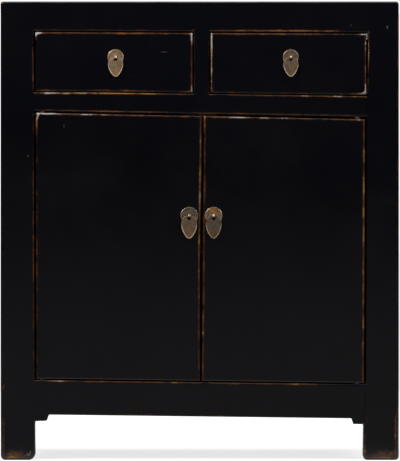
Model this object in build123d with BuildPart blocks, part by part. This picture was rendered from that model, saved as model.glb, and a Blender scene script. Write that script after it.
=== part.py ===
from build123d import *
import os
from math import sqrt

# A lacquered kang cabinet: two drawers above a two-door cupboard on four posts.
#
# Millimetres. +Z is up, the front faces -Y and +X is to the right of someone who
# faces the front. The origin is on the floor, under the middle of the whole
# cabinet with its pulls.
#
# The carcass is post-and-rail joinery: mortised posts, tenoned rails, grooved
# panels and a mitred top frame round a floating panel. The doors turn on wooden
# pivots in the rails above and below them. The drawers run on wooden runners.
# Each pull is a round plate, a split-pin eye and a drop that hangs from the eye.

# Whole cabinet
WIDTH = 780.0
DEPTH = 400.0
HEIGHT = 900.0
CENTRE_X = 3.5  # the divider and the door seam stand a little right of the middle

# Front, from the top down
TOP_BAND = 58.0  # face above the drawers
DRAWER_OPENING_HEIGHT = 121.0
DRAWER_RAIL_HEIGHT = 42.0
BOTTOM_RAIL_HEIGHT = 40.0
APRON_HEIGHT = 29.0
LEG_CLEARANCE = 84.0  # floor to the apron

# Posts
FRONT_POST_WIDTH = 64.5
FRONT_POST_DEPTH = 36.0
BACK_POST_WIDTH = 46.0
BACK_POST_DEPTH = 36.0
OUTER_EDGE_RADIUS = 4.0
FOOT_RADIUS = 6.0

# Top
TOP_THICKNESS = 24.0
TOP_FRAME_WIDTH = 70.0
TOP_PANEL_THICKNESS = 14.0
TOP_PANEL_TONGUE = 6.0
TOP_PANEL_REVEAL = 0.5  # hairline between the frame and the panel
TOP_BATTEN_WIDTH = 36.0
TOP_BATTEN_HEIGHT = 20.0
MITRE_TENON_WIDTH = 18.0
MITRE_TENON_THICKNESS = 8.0
MITRE_TENON_WALL = 12.0  # wood left in front of a mitre tenon

# Rails
FRONT_RAIL_DEPTH = 30.0
DIVIDER_WIDTH = 31.0
APRON_THICKNESS = 18.0
SPANDREL_LENGTH = 24.5
SPANDREL_SLOPE = 2.0
SPANDREL_DROP = 10.0
SPANDREL_RADIUS = 1.5
SIDE_RAIL_THICKNESS = 24.0
SIDE_TOP_RAIL_HEIGHT = 40.0
BACK_RAIL_THICKNESS = 22.0
BACK_RAIL_HEIGHT = 40.0
BACK_SETBACK = 6.0  # back rails stand this far inside the posts' back faces

# Joints
TENON_LENGTH = 22.0
TENON_THICKNESS = 10.0
TENON_SHOULDER = 10.0
STUB_LENGTH = 14.0
STUB_THICKNESS = 8.0
RUNNER_STUB_LENGTH = 6.0
POST_STUB_SIZE = 14.0
POST_STUB_INSET = 8.0
DIVIDER_STUB_LENGTH = 12.0
DIVIDER_STUB_WIDTH = 16.0

# Panels in grooves
GROOVE_DEPTH = 8.0
PANEL_PLAY = 1.0  # air at the bottom of each groove
SIDE_PANEL_THICKNESS = 10.0
SIDE_PANEL_SETBACK = 6.0
BACK_PANEL_THICKNESS = 8.0
FLOOR_THICKNESS = 12.0
FLOOR_DROP = 4.0  # cupboard floor below the top of the rail
FLOOR_GROOVE_DEPTH = 5.0

# Shelf
SHELF_TOP = 420.0
SHELF_THICKNESS = 16.0
SHELF_FRONT_SETBACK = 4.0  # behind the posts' back faces
SHELF_PLAY = 2.0
CLEAT_SIZE = 20.0

# Drawer runners and stops
RUNNER_THICKNESS = 20.0
RUNNER_LEDGE_WIDTH = 20.0  # shelf under a drawer side
RUNNER_OUTREACH = 40.0  # side runner beyond the opening, behind the post
RUNNER_GUIDE_HEIGHT = 20.0
RUNNER_GUIDE_PLAY = 1.0
RUNNER_STUB_WIDTH = 12.0
STOP_LENGTH = 30.0
STOP_HEIGHT = 8.0
DOOR_STOP_LENGTH = 60.0
DOOR_STOP_HEIGHT = 14.0
SEAT_GAP = 0.3  # air between a moving piece and what it rests on or stops at
SAME_PLACE = 0.01  # an edge this near a plane lies in it

# Doors
DOOR_THICKNESS = 22.0
DOOR_GAP = 2.5  # above and below a door
DOOR_HINGE_GAP = 2.5
DOOR_MEETING_GAP = 3.5
DOOR_EDGE_RADIUS = 3.0
HINGE_STILE_WIDTH = 60.0
MEETING_STILE_WIDTH = 50.0
DOOR_RAIL_HEIGHT = 50.0
DOOR_PANEL_THICKNESS = 12.0
DOOR_PANEL_TONGUE = 5.0
DOOR_TENON_LENGTH = 18.0
DOOR_TENON_THICKNESS = 5.0
PIVOT_RADIUS = 6.0
PIVOT_CLEARANCE = 0.06
PIVOT_LENGTH = 12.0
PIVOT_FROM_EDGE = 14.0  # pivot axis to the door's hinge edge
PIVOT_FROM_FACE = 10.0  # pivot axis to the door's face

# Drawers
DRAWER_GAP = 3.0
DRAWER_BOTTOM_GAP = 1.5
DRAWER_FRONT_THICKNESS = 20.0
DRAWER_EDGE_RADIUS = 3.0
DRAWER_BACK_GAP = 27.0  # air between a drawer and the back rails
DRAWER_SIDE_THICKNESS = 12.0
DRAWER_SIDE_HEIGHT = 100.0
DRAWER_BACK_THICKNESS = 12.0
DRAWER_BACK_DROP = 5.0
DRAWER_DADO = 4.0
DRAWER_BOTTOM_THICKNESS = 6.0
DRAWER_BOTTOM_RISE = 10.0
DRAWER_GROOVE = 5.0
TAIL_COUNT = 3
TAIL_LENGTH = 14.0
TAIL_ROOT_WIDTH = 17.0
TAIL_END_WIDTH = 23.0

# Pulls
DOOR_PLATE_DIAMETER = 34.0
DRAWER_PLATE_DIAMETER = 31.0
DOOR_DROP_LENGTH = 46.0
DRAWER_DROP_LENGTH = 39.5
DOOR_DROP_WIDTH = 31.0
DRAWER_DROP_WIDTH = 30.0
DROP_FLANK_RADIUS = 40.0
DROP_TIP_RADIUS = 5.5
DROP_RISE = 1.2  # top of a drop above the middle of the eye
DROP_THICKNESS = 1.6
DROP_RIM_WIDTH = 1.8
DROP_RIM_HEIGHT = 0.6
DROP_SLOT_WIDTH = 6.4
DOOR_DROP_SLOT_HEIGHT = 6.4
DRAWER_DROP_SLOT_HEIGHT = 4.6
DROP_SLOT_RADIUS = 0.6
PLATE_THICKNESS = 1.0
PLATE_RIM_WIDTH = 1.6
PLATE_RIM_HEIGHT = 0.8
PIN_HOLE_RADIUS = 3.0
EYE_INNER_RADIUS = 2.8
EYE_BAND_THICKNESS = 1.4
EYE_BAND_WIDTH = 5.0
PIN_LEG_LENGTH = 9.0
DOOR_PULL_FROM_SEAM = 24.0
DOOR_PULL_HEIGHT = 479.5
DRAWER_PULL_RISE = 8.5  # above the middle of the drawer opening
LEFT_PULL_SHIFT = 4.0  # right of the middle of the left drawer's opening
RIGHT_PULL_SHIFT = 6.5  # right of the middle of the right drawer's opening

# Where things come, worked out from the sizes above
EYE_OUTER_RADIUS = EYE_INNER_RADIUS + EYE_BAND_THICKNESS
EYE_REACH = PLATE_THICKNESS + EYE_OUTER_RADIUS  # wood face to the middle of the eye
PULL_PROJECTION = EYE_REACH + EYE_OUTER_RADIUS
SIDE = WIDTH / 2
FRONT = (PULL_PROJECTION - DEPTH) / 2
BACK = FRONT + DEPTH
OPENING = SIDE - FRONT_POST_WIDTH  # posts' inner edges
BACK_OPENING = SIDE - BACK_POST_WIDTH
POSTS_FRONT = FRONT + FRONT_POST_DEPTH
POSTS_BACK = BACK - BACK_POST_DEPTH
POST_TOP = HEIGHT - TOP_THICKNESS
DRAWERS_TOP = HEIGHT - TOP_BAND
DRAWERS_BOTTOM = DRAWERS_TOP - DRAWER_OPENING_HEIGHT
DOORS_TOP = DRAWERS_BOTTOM - DRAWER_RAIL_HEIGHT
APRON_TOP = LEG_CLEARANCE + APRON_HEIGHT
DOORS_BOTTOM = APRON_TOP + BOTTOM_RAIL_HEIGHT
RAIL_BACK = FRONT + FRONT_RAIL_DEPTH
FLOOR_TOP = DOORS_BOTTOM - FLOOR_DROP
FLOOR_BOTTOM = FLOOR_TOP - FLOOR_THICKNESS
SIDE_PANEL_OUTER = SIDE - SIDE_PANEL_SETBACK
SIDE_PANEL_INNER = SIDE_PANEL_OUTER - SIDE_PANEL_THICKNESS
SIDE_RAIL_INNER = SIDE - SIDE_RAIL_THICKNESS
SIDE_TOP_RAIL_BOTTOM = POST_TOP - SIDE_TOP_RAIL_HEIGHT
BACK_RAIL_OUTER = BACK - BACK_SETBACK
BACK_RAIL_INNER = BACK_RAIL_OUTER - BACK_RAIL_THICKNESS
BACK_RAIL_MIDDLE = (BACK_RAIL_OUTER + BACK_RAIL_INNER) / 2
RUNNER_BOTTOM = DRAWERS_BOTTOM - RUNNER_THICKNESS
TOP_PANEL_BOTTOM = HEIGHT - TOP_PANEL_THICKNESS
DOOR_LOW = DOORS_BOTTOM + DOOR_GAP
DOOR_HIGH = DOORS_TOP - DOOR_GAP
DOOR_BACK = FRONT + DOOR_THICKNESS
PIVOT_X = OPENING - DOOR_HINGE_GAP - PIVOT_FROM_EDGE
PIVOT_Y = FRONT + PIVOT_FROM_FACE
DRAWER_FRONT_BACK = FRONT + DRAWER_FRONT_THICKNESS
DRAWER_SIDE_LOW = DRAWERS_BOTTOM + SEAT_GAP
DRAWER_SIDE_HIGH = DRAWER_SIDE_LOW + DRAWER_SIDE_HEIGHT
DRAWER_BOTTOM_LOW = DRAWER_SIDE_LOW + DRAWER_BOTTOM_RISE
DRAWER_BOTTOM_HIGH = DRAWER_BOTTOM_LOW + DRAWER_BOTTOM_THICKNESS
EYE_Y = FRONT - EYE_REACH  # middle of every pull's eye

LEFT, RIGHT = -1, 1
SIDE_NAMES = {LEFT: "left", RIGHT: "right"}
DRAWER_PULL_SHIFTS = {LEFT: LEFT_PULL_SHIFT, RIGHT: RIGHT_PULL_SHIFT}

os.makedirs("parts", exist_ok=True)


def finish(name, piece):
    """Label a finished piece and write it to a STEP file of its own."""
    piece.part.label = name
    export_step(piece.part, f"parts/{name}.step")


def block(x, y, z, mode=Mode.ADD):
    """Add to, or cut from, the part being built a block between two limits on each axis."""
    with Locations((sum(x) / 2, sum(y) / 2, sum(z) / 2)):
        Box(abs(x[1] - x[0]), abs(y[1] - y[0]), abs(z[1] - z[0]), mode=mode)


def cut(room):
    """Cut from the part being built the block that another piece fills."""
    block(*room, mode=Mode.SUBTRACT)


def middle_band(low, high, width):
    """The two limits of a band of that width halfway between two values."""
    middle = (low + high) / 2
    return middle - width / 2, middle + width / 2


def shrink(span, play):
    """Limits moved inwards by the play at each end."""
    return min(span) + play, max(span) - play


# Tenons and grooves: each function gives the limits that the tenon or panel
# fills, and both pieces of the joint take them from here.


def front_tenon(side, low, high, length=TENON_LENGTH, back=RAIL_BACK):
    """Tenon of a front rail in a front post."""
    return (
        (side * OPENING, side * (OPENING + length)),
        middle_band(FRONT, back, TENON_THICKNESS),
        (low + TENON_SHOULDER, high - TENON_SHOULDER),
    )


def apron_tenon(side):
    """Tenon of the apron in a front post."""
    shoulder = APRON_HEIGHT / 4
    return (
        (side * OPENING, side * (OPENING + STUB_LENGTH)),
        middle_band(FRONT, FRONT + APRON_THICKNESS, STUB_THICKNESS),
        (LEG_CLEARANCE + shoulder, APRON_TOP - shoulder),
    )


def side_tenons(side, low, high):
    """Tenons of a side rail in its front post and back post."""
    x_low, x_high = middle_band(SIDE_RAIL_INNER, SIDE, STUB_THICKNESS)
    x = (side * x_low, side * x_high)
    z = (low + TENON_SHOULDER, high - TENON_SHOULDER)
    return (
        (x, (POSTS_FRONT - STUB_LENGTH, POSTS_FRONT), z),
        (x, (POSTS_BACK, POSTS_BACK + STUB_LENGTH), z),
    )


def back_tenon(side, low, high):
    """Tenon of a back rail in a back post."""
    return (
        (side * BACK_OPENING, side * (BACK_OPENING + STUB_LENGTH)),
        middle_band(BACK_RAIL_INNER, BACK_RAIL_OUTER, STUB_THICKNESS),
        (low + TENON_SHOULDER, high - TENON_SHOULDER),
    )


def post_tenon(side, end):
    """Tenon on top of a post, in the top frame. end is -1 at the front and 1 at the back."""
    inner, face = (OPENING, FRONT) if end < 0 else (BACK_OPENING, BACK)
    x = inner + POST_STUB_INSET
    y = face - end * POST_STUB_INSET
    return (
        (side * x, side * (x + POST_STUB_SIZE)),
        (y, y - end * POST_STUB_SIZE),
        (POST_TOP, POST_TOP + STUB_THICKNESS),
    )


def cleat_tenons(side):
    """Tenons of a shelf cleat in its front post and back post."""
    x_low, x_high = middle_band(SIDE_PANEL_INNER - CLEAT_SIZE, SIDE_PANEL_INNER, CLEAT_SIZE / 2)
    x = (side * x_low, side * x_high)
    z = middle_band(SHELF_BOTTOM - CLEAT_SIZE, SHELF_BOTTOM, CLEAT_SIZE / 2)
    return (
        (x, (POSTS_FRONT - RUNNER_STUB_LENGTH, POSTS_FRONT), z),
        (x, (POSTS_BACK, POSTS_BACK + RUNNER_STUB_LENGTH), z),
    )


def runner_tenons(side):
    """Tenons of a side runner in its front post, its back post and the drawer rail."""
    z = middle_band(RUNNER_BOTTOM, DRAWERS_BOTTOM, RUNNER_STUB_WIDTH)
    outer = OPENING + RUNNER_OUTREACH
    x_front = (side * (outer - RUNNER_STUB_LENGTH - RUNNER_STUB_WIDTH), side * (outer - RUNNER_STUB_LENGTH))
    x_back = (side * (outer - RUNNER_STUB_WIDTH), side * outer)
    x_rail = (side * (OPENING - RUNNER_STUB_WIDTH), side * OPENING)
    return (
        (x_front, (POSTS_FRONT - RUNNER_STUB_LENGTH, POSTS_FRONT), z),
        (x_back, (POSTS_BACK, POSTS_BACK + RUNNER_STUB_LENGTH), z),
        (x_rail, (RAIL_BACK - RUNNER_STUB_LENGTH, POSTS_FRONT), z),
    )


def centre_runner_tenons():
    """Tenons of the centre runner in the drawer rail and the back middle rail."""
    x = middle_band(CENTRE_X, CENTRE_X, 2 * RUNNER_STUB_WIDTH)
    z = middle_band(RUNNER_BOTTOM, DRAWERS_BOTTOM, RUNNER_STUB_WIDTH)
    return (
        (x, (RAIL_BACK - RUNNER_STUB_LENGTH, RAIL_BACK), z),
        (x, (BACK_RAIL_INNER, BACK_RAIL_INNER + RUNNER_STUB_LENGTH), z),
    )


def divider_tenons():
    """Tenons of the drawer divider in the rails above and below it."""
    x = middle_band(CENTRE_X, CENTRE_X, DIVIDER_STUB_WIDTH)
    y = middle_band(FRONT, RAIL_BACK, TENON_THICKNESS)
    return (
        (x, y, (DRAWERS_TOP, DRAWERS_TOP + DIVIDER_STUB_LENGTH)),
        (x, y, (DRAWERS_BOTTOM - DIVIDER_STUB_LENGTH, DRAWERS_BOTTOM)),
    )


def mitre_tenon(side, end):
    """Tenon of a short top member through the mitre into a long one."""
    inner = SIDE - TOP_FRAME_WIDTH + GROOVE_DEPTH
    face = FRONT if end < 0 else BACK
    return (
        (side * (inner + PANEL_PLAY), side * (inner + PANEL_PLAY + MITRE_TENON_WIDTH)),
        (face - end * MITRE_TENON_WALL, face - end * TOP_FRAME_WIDTH),
        middle_band(POST_TOP, HEIGHT, MITRE_TENON_THICKNESS),
    )


def batten_tenons():
    """Tenons of the top batten in the front and back top members."""
    x = middle_band(0, 0, TOP_BATTEN_WIDTH - 2 * STUB_THICKNESS)
    z = (POST_TOP, TOP_PANEL_BOTTOM - STUB_THICKNESS / 2)
    return (
        (x, (FRONT + TOP_FRAME_WIDTH - STUB_LENGTH, FRONT + TOP_FRAME_WIDTH), z),
        (x, (BACK - TOP_FRAME_WIDTH, BACK - TOP_FRAME_WIDTH + STUB_LENGTH), z),
    )


def top_panel_tongue(play):
    """The top panel's tongue, or with no play the groove round it."""
    reach = SIDE - TOP_FRAME_WIDTH + GROOVE_DEPTH - play
    low = TOP_PANEL_BOTTOM
    return (
        (-reach, reach),
        shrink((FRONT + TOP_FRAME_WIDTH - GROOVE_DEPTH, BACK - TOP_FRAME_WIDTH + GROOVE_DEPTH), play),
        (low, low + TOP_PANEL_TONGUE),
    )


def side_panel_room(side, play=0.0):
    """A side panel, or with no play the grooves round it."""
    return (
        (side * SIDE_PANEL_INNER, side * SIDE_PANEL_OUTER),
        shrink((POSTS_FRONT - GROOVE_DEPTH, POSTS_BACK + GROOVE_DEPTH), play),
        shrink((DOORS_BOTTOM - GROOVE_DEPTH, SIDE_TOP_RAIL_BOTTOM + GROOVE_DEPTH), play),
    )


def back_panel_room(low, high, play=0.0):
    """A back panel between two rails, or with no play the grooves round it."""
    reach = BACK_OPENING + GROOVE_DEPTH - play
    return (
        (-reach, reach),
        middle_band(BACK_RAIL_INNER, BACK_RAIL_OUTER, BACK_PANEL_THICKNESS),
        shrink((low - GROOVE_DEPTH, high + GROOVE_DEPTH), play),
    )


def floor_room(play=0.0):
    """The cupboard floor, or with no play the grooves round it."""
    reach = SIDE_RAIL_INNER + FLOOR_GROOVE_DEPTH - play
    return (
        (-reach, reach),
        shrink((RAIL_BACK - FLOOR_GROOVE_DEPTH, BACK_RAIL_INNER + FLOOR_GROOVE_DEPTH), play),
        (FLOOR_BOTTOM, FLOOR_TOP),
    )


SHELF_BOTTOM = SHELF_TOP - SHELF_THICKNESS
BACK_RAILS = {  # name: low and high limits
    "back_top_rail": (POST_TOP - BACK_RAIL_HEIGHT, POST_TOP),
    "back_middle_rail": (DRAWERS_BOTTOM - BACK_RAIL_HEIGHT, DRAWERS_BOTTOM),
    "back_bottom_rail": (DOORS_BOTTOM - BACK_RAIL_HEIGHT, DOORS_BOTTOM),
}
BACK_PANELS = (
    (DOORS_BOTTOM, DRAWERS_BOTTOM - BACK_RAIL_HEIGHT),
    (DRAWERS_BOTTOM, POST_TOP - BACK_RAIL_HEIGHT),
)
SIDE_RAILS = {  # name: low and high limits
    "side_top_rail": (SIDE_TOP_RAIL_BOTTOM, POST_TOP),
    "side_bottom_rail": (LEG_CLEARANCE, DOORS_BOTTOM),
}


# Posts


def post_blank(side, inner, y):
    """A square post with its outer corner and its foot rounded."""
    block((side * inner, side * SIDE), y, (0, POST_TOP))
    outer = edges().filter_by(Axis.Z).sort_by(Axis.X)[::side][-2:]
    corner = outer.sort_by(Axis.Y)[0 if y[0] == FRONT else -1]
    fillet(corner, OUTER_EDGE_RADIUS)
    fillet(faces().sort_by(Axis.Z)[0].edges(), FOOT_RADIUS)


for side, side_name in SIDE_NAMES.items():
    with BuildPart() as front_post:
        post_blank(side, OPENING, (FRONT, POSTS_FRONT))
        block(*post_tenon(side, -1))
        cut(front_tenon(side, DRAWERS_TOP, POST_TOP))
        cut(front_tenon(side, DOORS_TOP, DRAWERS_BOTTOM))
        cut(front_tenon(side, APRON_TOP, DOORS_BOTTOM))
        cut(apron_tenon(side))
        for low, high in SIDE_RAILS.values():
            cut(side_tenons(side, low, high)[0])
        cut(side_panel_room(side))
        cut(cleat_tenons(side)[0])
        cut(runner_tenons(side)[0])
    finish(f"front_post_{side_name}", front_post)

    with BuildPart() as back_post:
        post_blank(side, BACK_OPENING, (POSTS_BACK, BACK))
        block(*post_tenon(side, 1))
        for low, high in BACK_RAILS.values():
            cut(back_tenon(side, low, high))
        for low, high in BACK_PANELS:
            cut(back_panel_room(low, high))
        for low, high in SIDE_RAILS.values():
            cut(side_tenons(side, low, high)[1])
        cut(side_panel_room(side))
        cut(cleat_tenons(side)[1])
        cut(runner_tenons(side)[1])
    finish(f"back_post_{side_name}", back_post)


# Top: a mitred frame round a floating panel, held flat by a batten


def top_ring():
    """The whole top frame before it is parted at its mitres."""
    with BuildSketch(Plane.XY.offset(POST_TOP)) as outline:
        with Locations((0, (FRONT + BACK) / 2)):
            RectangleRounded(WIDTH, DEPTH, OUTER_EDGE_RADIUS)
            Rectangle(WIDTH - 2 * TOP_FRAME_WIDTH, DEPTH - 2 * TOP_FRAME_WIDTH, mode=Mode.SUBTRACT)
    extrude(outline.sketch, amount=TOP_THICKNESS)
    top_face = faces().sort_by(Axis.Z)[-1]
    fillet(top_face.outer_wire().edges(), OUTER_EDGE_RADIUS * 0.75)


def mitre(side, end):
    """Plane of a mitre, with the long member on its upper side."""
    return Plane(origin=(side * SIDE, FRONT if end < 0 else BACK, 0), z_dir=(-side, end, 0))


def top_joints():
    """Cut the panel's groove and the post tops' mortises from a top member."""
    cut(top_panel_tongue(play=0))
    for side in SIDE_NAMES:
        cut(post_tenon(side, -1))
        cut(post_tenon(side, 1))


for end, end_name in ((-1, "front"), (1, "back")):
    with BuildPart() as long_member:
        top_ring()
        face = FRONT if end < 0 else BACK
        band = (face, face - end * TOP_FRAME_WIDTH)
        block((-SIDE, SIDE), band, (POST_TOP, HEIGHT), mode=Mode.INTERSECT)
        for side in SIDE_NAMES:
            split(bisect_by=mitre(side, end), keep=Keep.TOP)
        top_joints()
        for side in SIDE_NAMES:
            cut(mitre_tenon(side, end))
        for room in batten_tenons():
            cut(room)
    finish(f"top_frame_{end_name}", long_member)

for side, side_name in SIDE_NAMES.items():
    with BuildPart() as short_member:
        top_ring()
        for end in (-1, 1):
            split(bisect_by=mitre(side, end), keep=Keep.BOTTOM)
        for end in (-1, 1):
            block(*mitre_tenon(side, end))
        top_joints()
    finish(f"top_frame_{side_name}", short_member)

with BuildPart() as top_panel:
    reach_x = SIDE - TOP_FRAME_WIDTH - TOP_PANEL_REVEAL
    reach_y = shrink((FRONT + TOP_FRAME_WIDTH, BACK - TOP_FRAME_WIDTH), TOP_PANEL_REVEAL)
    block((-reach_x, reach_x), reach_y, (TOP_PANEL_BOTTOM, HEIGHT))
    block(*top_panel_tongue(PANEL_PLAY))
finish("top_panel", top_panel)

with BuildPart() as top_batten:
    block(
        middle_band(0, 0, TOP_BATTEN_WIDTH),
        (FRONT + TOP_FRAME_WIDTH, BACK - TOP_FRAME_WIDTH),
        (TOP_PANEL_BOTTOM - TOP_BATTEN_HEIGHT, TOP_PANEL_BOTTOM),
    )
    for tenon in batten_tenons():
        block(*tenon)
finish("top_batten", top_batten)


# Front rails, divider and apron


def front_rail_blank(low, high):
    """A front rail with a tenon at each end."""
    block((-OPENING, OPENING), (FRONT, RAIL_BACK), (low, high))
    for side in SIDE_NAMES:
        block(*front_tenon(side, low, high))


def pivot_socket(side, mouth, depth):
    """Cut a blind hole for a door pivot. depth is positive upwards and negative downwards."""
    with BuildSketch(Plane.XY.offset(mouth)) as ring:
        with Locations((side * PIVOT_X, PIVOT_Y)):
            Circle(PIVOT_RADIUS + PIVOT_CLEARANCE)
    extrude(ring.sketch, amount=depth, mode=Mode.SUBTRACT)


with BuildPart() as front_top_rail:
    front_rail_blank(DRAWERS_TOP, POST_TOP)
    cut(divider_tenons()[0])
finish("front_top_rail", front_top_rail)

with BuildPart() as drawer_divider:
    block(
        middle_band(CENTRE_X, CENTRE_X, DIVIDER_WIDTH),
        (FRONT, RAIL_BACK),
        (DRAWERS_BOTTOM, DRAWERS_TOP),
    )
    for tenon in divider_tenons():
        block(*tenon)
finish("drawer_divider", drawer_divider)

SOCKET_DEPTH = PIVOT_LENGTH - DOOR_GAP + SEAT_GAP

with BuildPart() as drawer_rail:
    front_rail_blank(DOORS_TOP, DRAWERS_BOTTOM)
    cut(divider_tenons()[1])
    cut(centre_runner_tenons()[0])
    for side in SIDE_NAMES:
        cut(runner_tenons(side)[2])
        pivot_socket(side, DOORS_TOP, SOCKET_DEPTH)
finish("drawer_rail", drawer_rail)

with BuildPart() as front_bottom_rail:
    front_rail_blank(APRON_TOP, DOORS_BOTTOM)
    cut(floor_room())
    for side in SIDE_NAMES:
        pivot_socket(side, DOORS_BOTTOM, -SOCKET_DEPTH)
finish("front_bottom_rail", front_bottom_rail)

with BuildPart() as front_apron:
    spandrel_low = LEG_CLEARANCE - SPANDREL_DROP
    spandrel_root = OPENING - SPANDREL_LENGTH
    spandrel_toe = spandrel_root + SPANDREL_SLOPE
    with BuildSketch(Plane.XZ.offset(-FRONT)) as apron_face:
        with BuildLine():
            Polyline(
                (-OPENING, spandrel_low),
                (-spandrel_toe, spandrel_low),
                (-spandrel_root, LEG_CLEARANCE),
                (spandrel_root, LEG_CLEARANCE),
                (spandrel_toe, spandrel_low),
                (OPENING, spandrel_low),
                (OPENING, APRON_TOP),
                (-OPENING, APRON_TOP),
                close=True,
            )
        make_face()
        toes = vertices().group_by(Axis.Y)[0].sort_by(Axis.X)[1:3]
        fillet(toes, SPANDREL_RADIUS)
    extrude(amount=-APRON_THICKNESS)
    for side in SIDE_NAMES:
        block(*apron_tenon(side))
finish("front_apron", front_apron)


# Sides


for side, side_name in SIDE_NAMES.items():
    for rail_name, (low, high) in SIDE_RAILS.items():
        with BuildPart() as side_rail:
            block((side * SIDE_RAIL_INNER, side * SIDE), (POSTS_FRONT, POSTS_BACK), (low, high))
            for tenon in side_tenons(side, low, high):
                block(*tenon)
            cut(side_panel_room(side))
            cut(floor_room())
        finish(f"{rail_name}_{side_name}", side_rail)

    with BuildPart() as side_panel:
        block(*side_panel_room(side, PANEL_PLAY))
    finish(f"side_panel_{side_name}", side_panel)


# Back


for rail_name, (low, high) in BACK_RAILS.items():
    with BuildPart() as back_rail:
        block((-BACK_OPENING, BACK_OPENING), (BACK_RAIL_INNER, BACK_RAIL_OUTER), (low, high))
        for side in SIDE_NAMES:
            block(*back_tenon(side, low, high))
        for panel_low, panel_high in BACK_PANELS:
            cut(back_panel_room(panel_low, panel_high))
        cut(floor_room())
        cut(centre_runner_tenons()[1])
    finish(rail_name, back_rail)

with BuildPart() as back_panels:
    for panel_low, panel_high in BACK_PANELS:
        block(*back_panel_room(panel_low, panel_high, PANEL_PLAY))
finish("back_panels", back_panels)


# Cupboard floor and shelf


with BuildPart() as bottom_panel:
    block(*floor_room(PANEL_PLAY))
    for side in SIDE_NAMES:
        cut(((side * OPENING, side * SIDE), (FRONT, POSTS_FRONT), (FLOOR_BOTTOM, FLOOR_TOP)))
        cut(((side * BACK_OPENING, side * SIDE), (POSTS_BACK, BACK), (FLOOR_BOTTOM, FLOOR_TOP)))
finish("bottom_panel", bottom_panel)

with BuildPart() as shelf:
    shelf_reach = SIDE_PANEL_INNER - SHELF_PLAY
    block(
        (-shelf_reach, shelf_reach),
        (POSTS_FRONT + SHELF_FRONT_SETBACK, POSTS_BACK - SHELF_PLAY),
        (SHELF_BOTTOM, SHELF_TOP),
    )
    fillet(edges().filter_by(Axis.X).sort_by(Axis.Y)[:2], SHELF_PLAY)
finish("shelf", shelf)

with BuildPart() as shelf_cleats:
    for side in SIDE_NAMES:
        block(
            (side * (SIDE_PANEL_INNER - CLEAT_SIZE), side * SIDE_PANEL_INNER),
            (POSTS_FRONT, POSTS_BACK),
            (SHELF_BOTTOM - CLEAT_SIZE, SHELF_BOTTOM),
        )
        for tenon in cleat_tenons(side):
            block(*tenon)
finish("shelf_cleats", shelf_cleats)


# Drawer runners and stop blocks


for side, side_name in SIDE_NAMES.items():
    with BuildPart() as runner:
        outer = side * (OPENING + RUNNER_OUTREACH)
        block(
            (outer, side * (OPENING - RUNNER_LEDGE_WIDTH)),
            (POSTS_FRONT, POSTS_BACK),
            (RUNNER_BOTTOM, DRAWERS_BOTTOM),
        )
        block(
            (outer, side * (OPENING - DRAWER_GAP + RUNNER_GUIDE_PLAY)),
            (POSTS_FRONT, POSTS_BACK),
            (DRAWERS_BOTTOM, DRAWERS_BOTTOM + RUNNER_GUIDE_HEIGHT),
        )
        for tenon in runner_tenons(side):
            block(*tenon)
    finish(f"drawer_runner_{side_name}", runner)

with BuildPart() as centre_runner:
    block(
        middle_band(CENTRE_X, CENTRE_X, DIVIDER_WIDTH + 2 * RUNNER_LEDGE_WIDTH),
        (RAIL_BACK, BACK_RAIL_INNER),
        (RUNNER_BOTTOM, DRAWERS_BOTTOM),
    )
    block(
        middle_band(CENTRE_X, CENTRE_X, DIVIDER_WIDTH + 2 * (DRAWER_GAP - RUNNER_GUIDE_PLAY)),
        (RAIL_BACK, BACK_RAIL_INNER),
        (DRAWERS_BOTTOM, DRAWERS_BOTTOM + RUNNER_GUIDE_HEIGHT),
    )
    for tenon in centre_runner_tenons():
        block(*tenon)
finish("drawer_runner_centre", centre_runner)


def drawer_opening(side):
    """Left and right limits of a drawer's opening."""
    return sorted((side * OPENING, CENTRE_X + side * DIVIDER_WIDTH / 2))


with BuildPart() as stop_blocks:
    for side in SIDE_NAMES:
        block(
            middle_band(*drawer_opening(side), STOP_LENGTH),
            (DRAWER_FRONT_BACK + SEAT_GAP, RAIL_BACK),
            (DRAWERS_BOTTOM, DRAWERS_BOTTOM + STOP_HEIGHT),
        )
    block(
        middle_band(CENTRE_X, CENTRE_X, DOOR_STOP_LENGTH),
        (DOOR_BACK + SEAT_GAP, RAIL_BACK),
        (DOORS_TOP - DOOR_STOP_HEIGHT, DOORS_TOP),
    )
finish("stop_blocks", stop_blocks)


# Pulls


def front_plane(x, y, z):
    """A plane that faces forwards: its x runs right and its y runs up."""
    return Plane(origin=(x, y, z), x_dir=(1, 0, 0), z_dir=(0, -1, 0))


def pin_hole(x, z, thickness):
    """Drill a pull's pin hole through a front of that thickness."""
    with BuildSketch(front_plane(x, FRONT, z)) as drill:
        Circle(PIN_HOLE_RADIUS)
    extrude(drill.sketch, amount=-thickness, mode=Mode.SUBTRACT)


def drop_face(plane, width, length, inset=0.0):
    """Outline of a drop: a round head, long flanks and a small tip, all arcs that meet at a tangent.

    The plane's origin is the middle of the head. The inset moves the outline inwards.
    """
    head, tip, flank = width / 2, DROP_TIP_RADIUS, DROP_FLANK_RADIUS
    tip_below = length - head - tip  # middle of the head to the middle of the tip
    to_head, to_tip = flank - head, flank - tip  # from the middle of a flank's arc
    above = (to_tip**2 - to_head**2 - tip_below**2) / (2 * tip_below)
    across = sqrt(to_head**2 - above**2)
    head, tip, flank = head - inset, tip - inset, flank - inset
    head_x, head_y = head * across / to_head, -head * above / to_head
    tip_x, tip_y = tip * across / to_tip, -tip_below - tip * (above + tip_below) / to_tip
    with BuildSketch(plane) as outline:
        with BuildLine():
            ThreePointArc((head_x, head_y), (0, head), (-head_x, head_y))
            RadiusArc((-head_x, head_y), (-tip_x, tip_y), -flank)
            ThreePointArc((-tip_x, tip_y), (0, -tip_below - tip), (tip_x, tip_y))
            RadiusArc((tip_x, tip_y), (head_x, head_y), -flank)
        make_face()
    return outline.sketch


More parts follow.
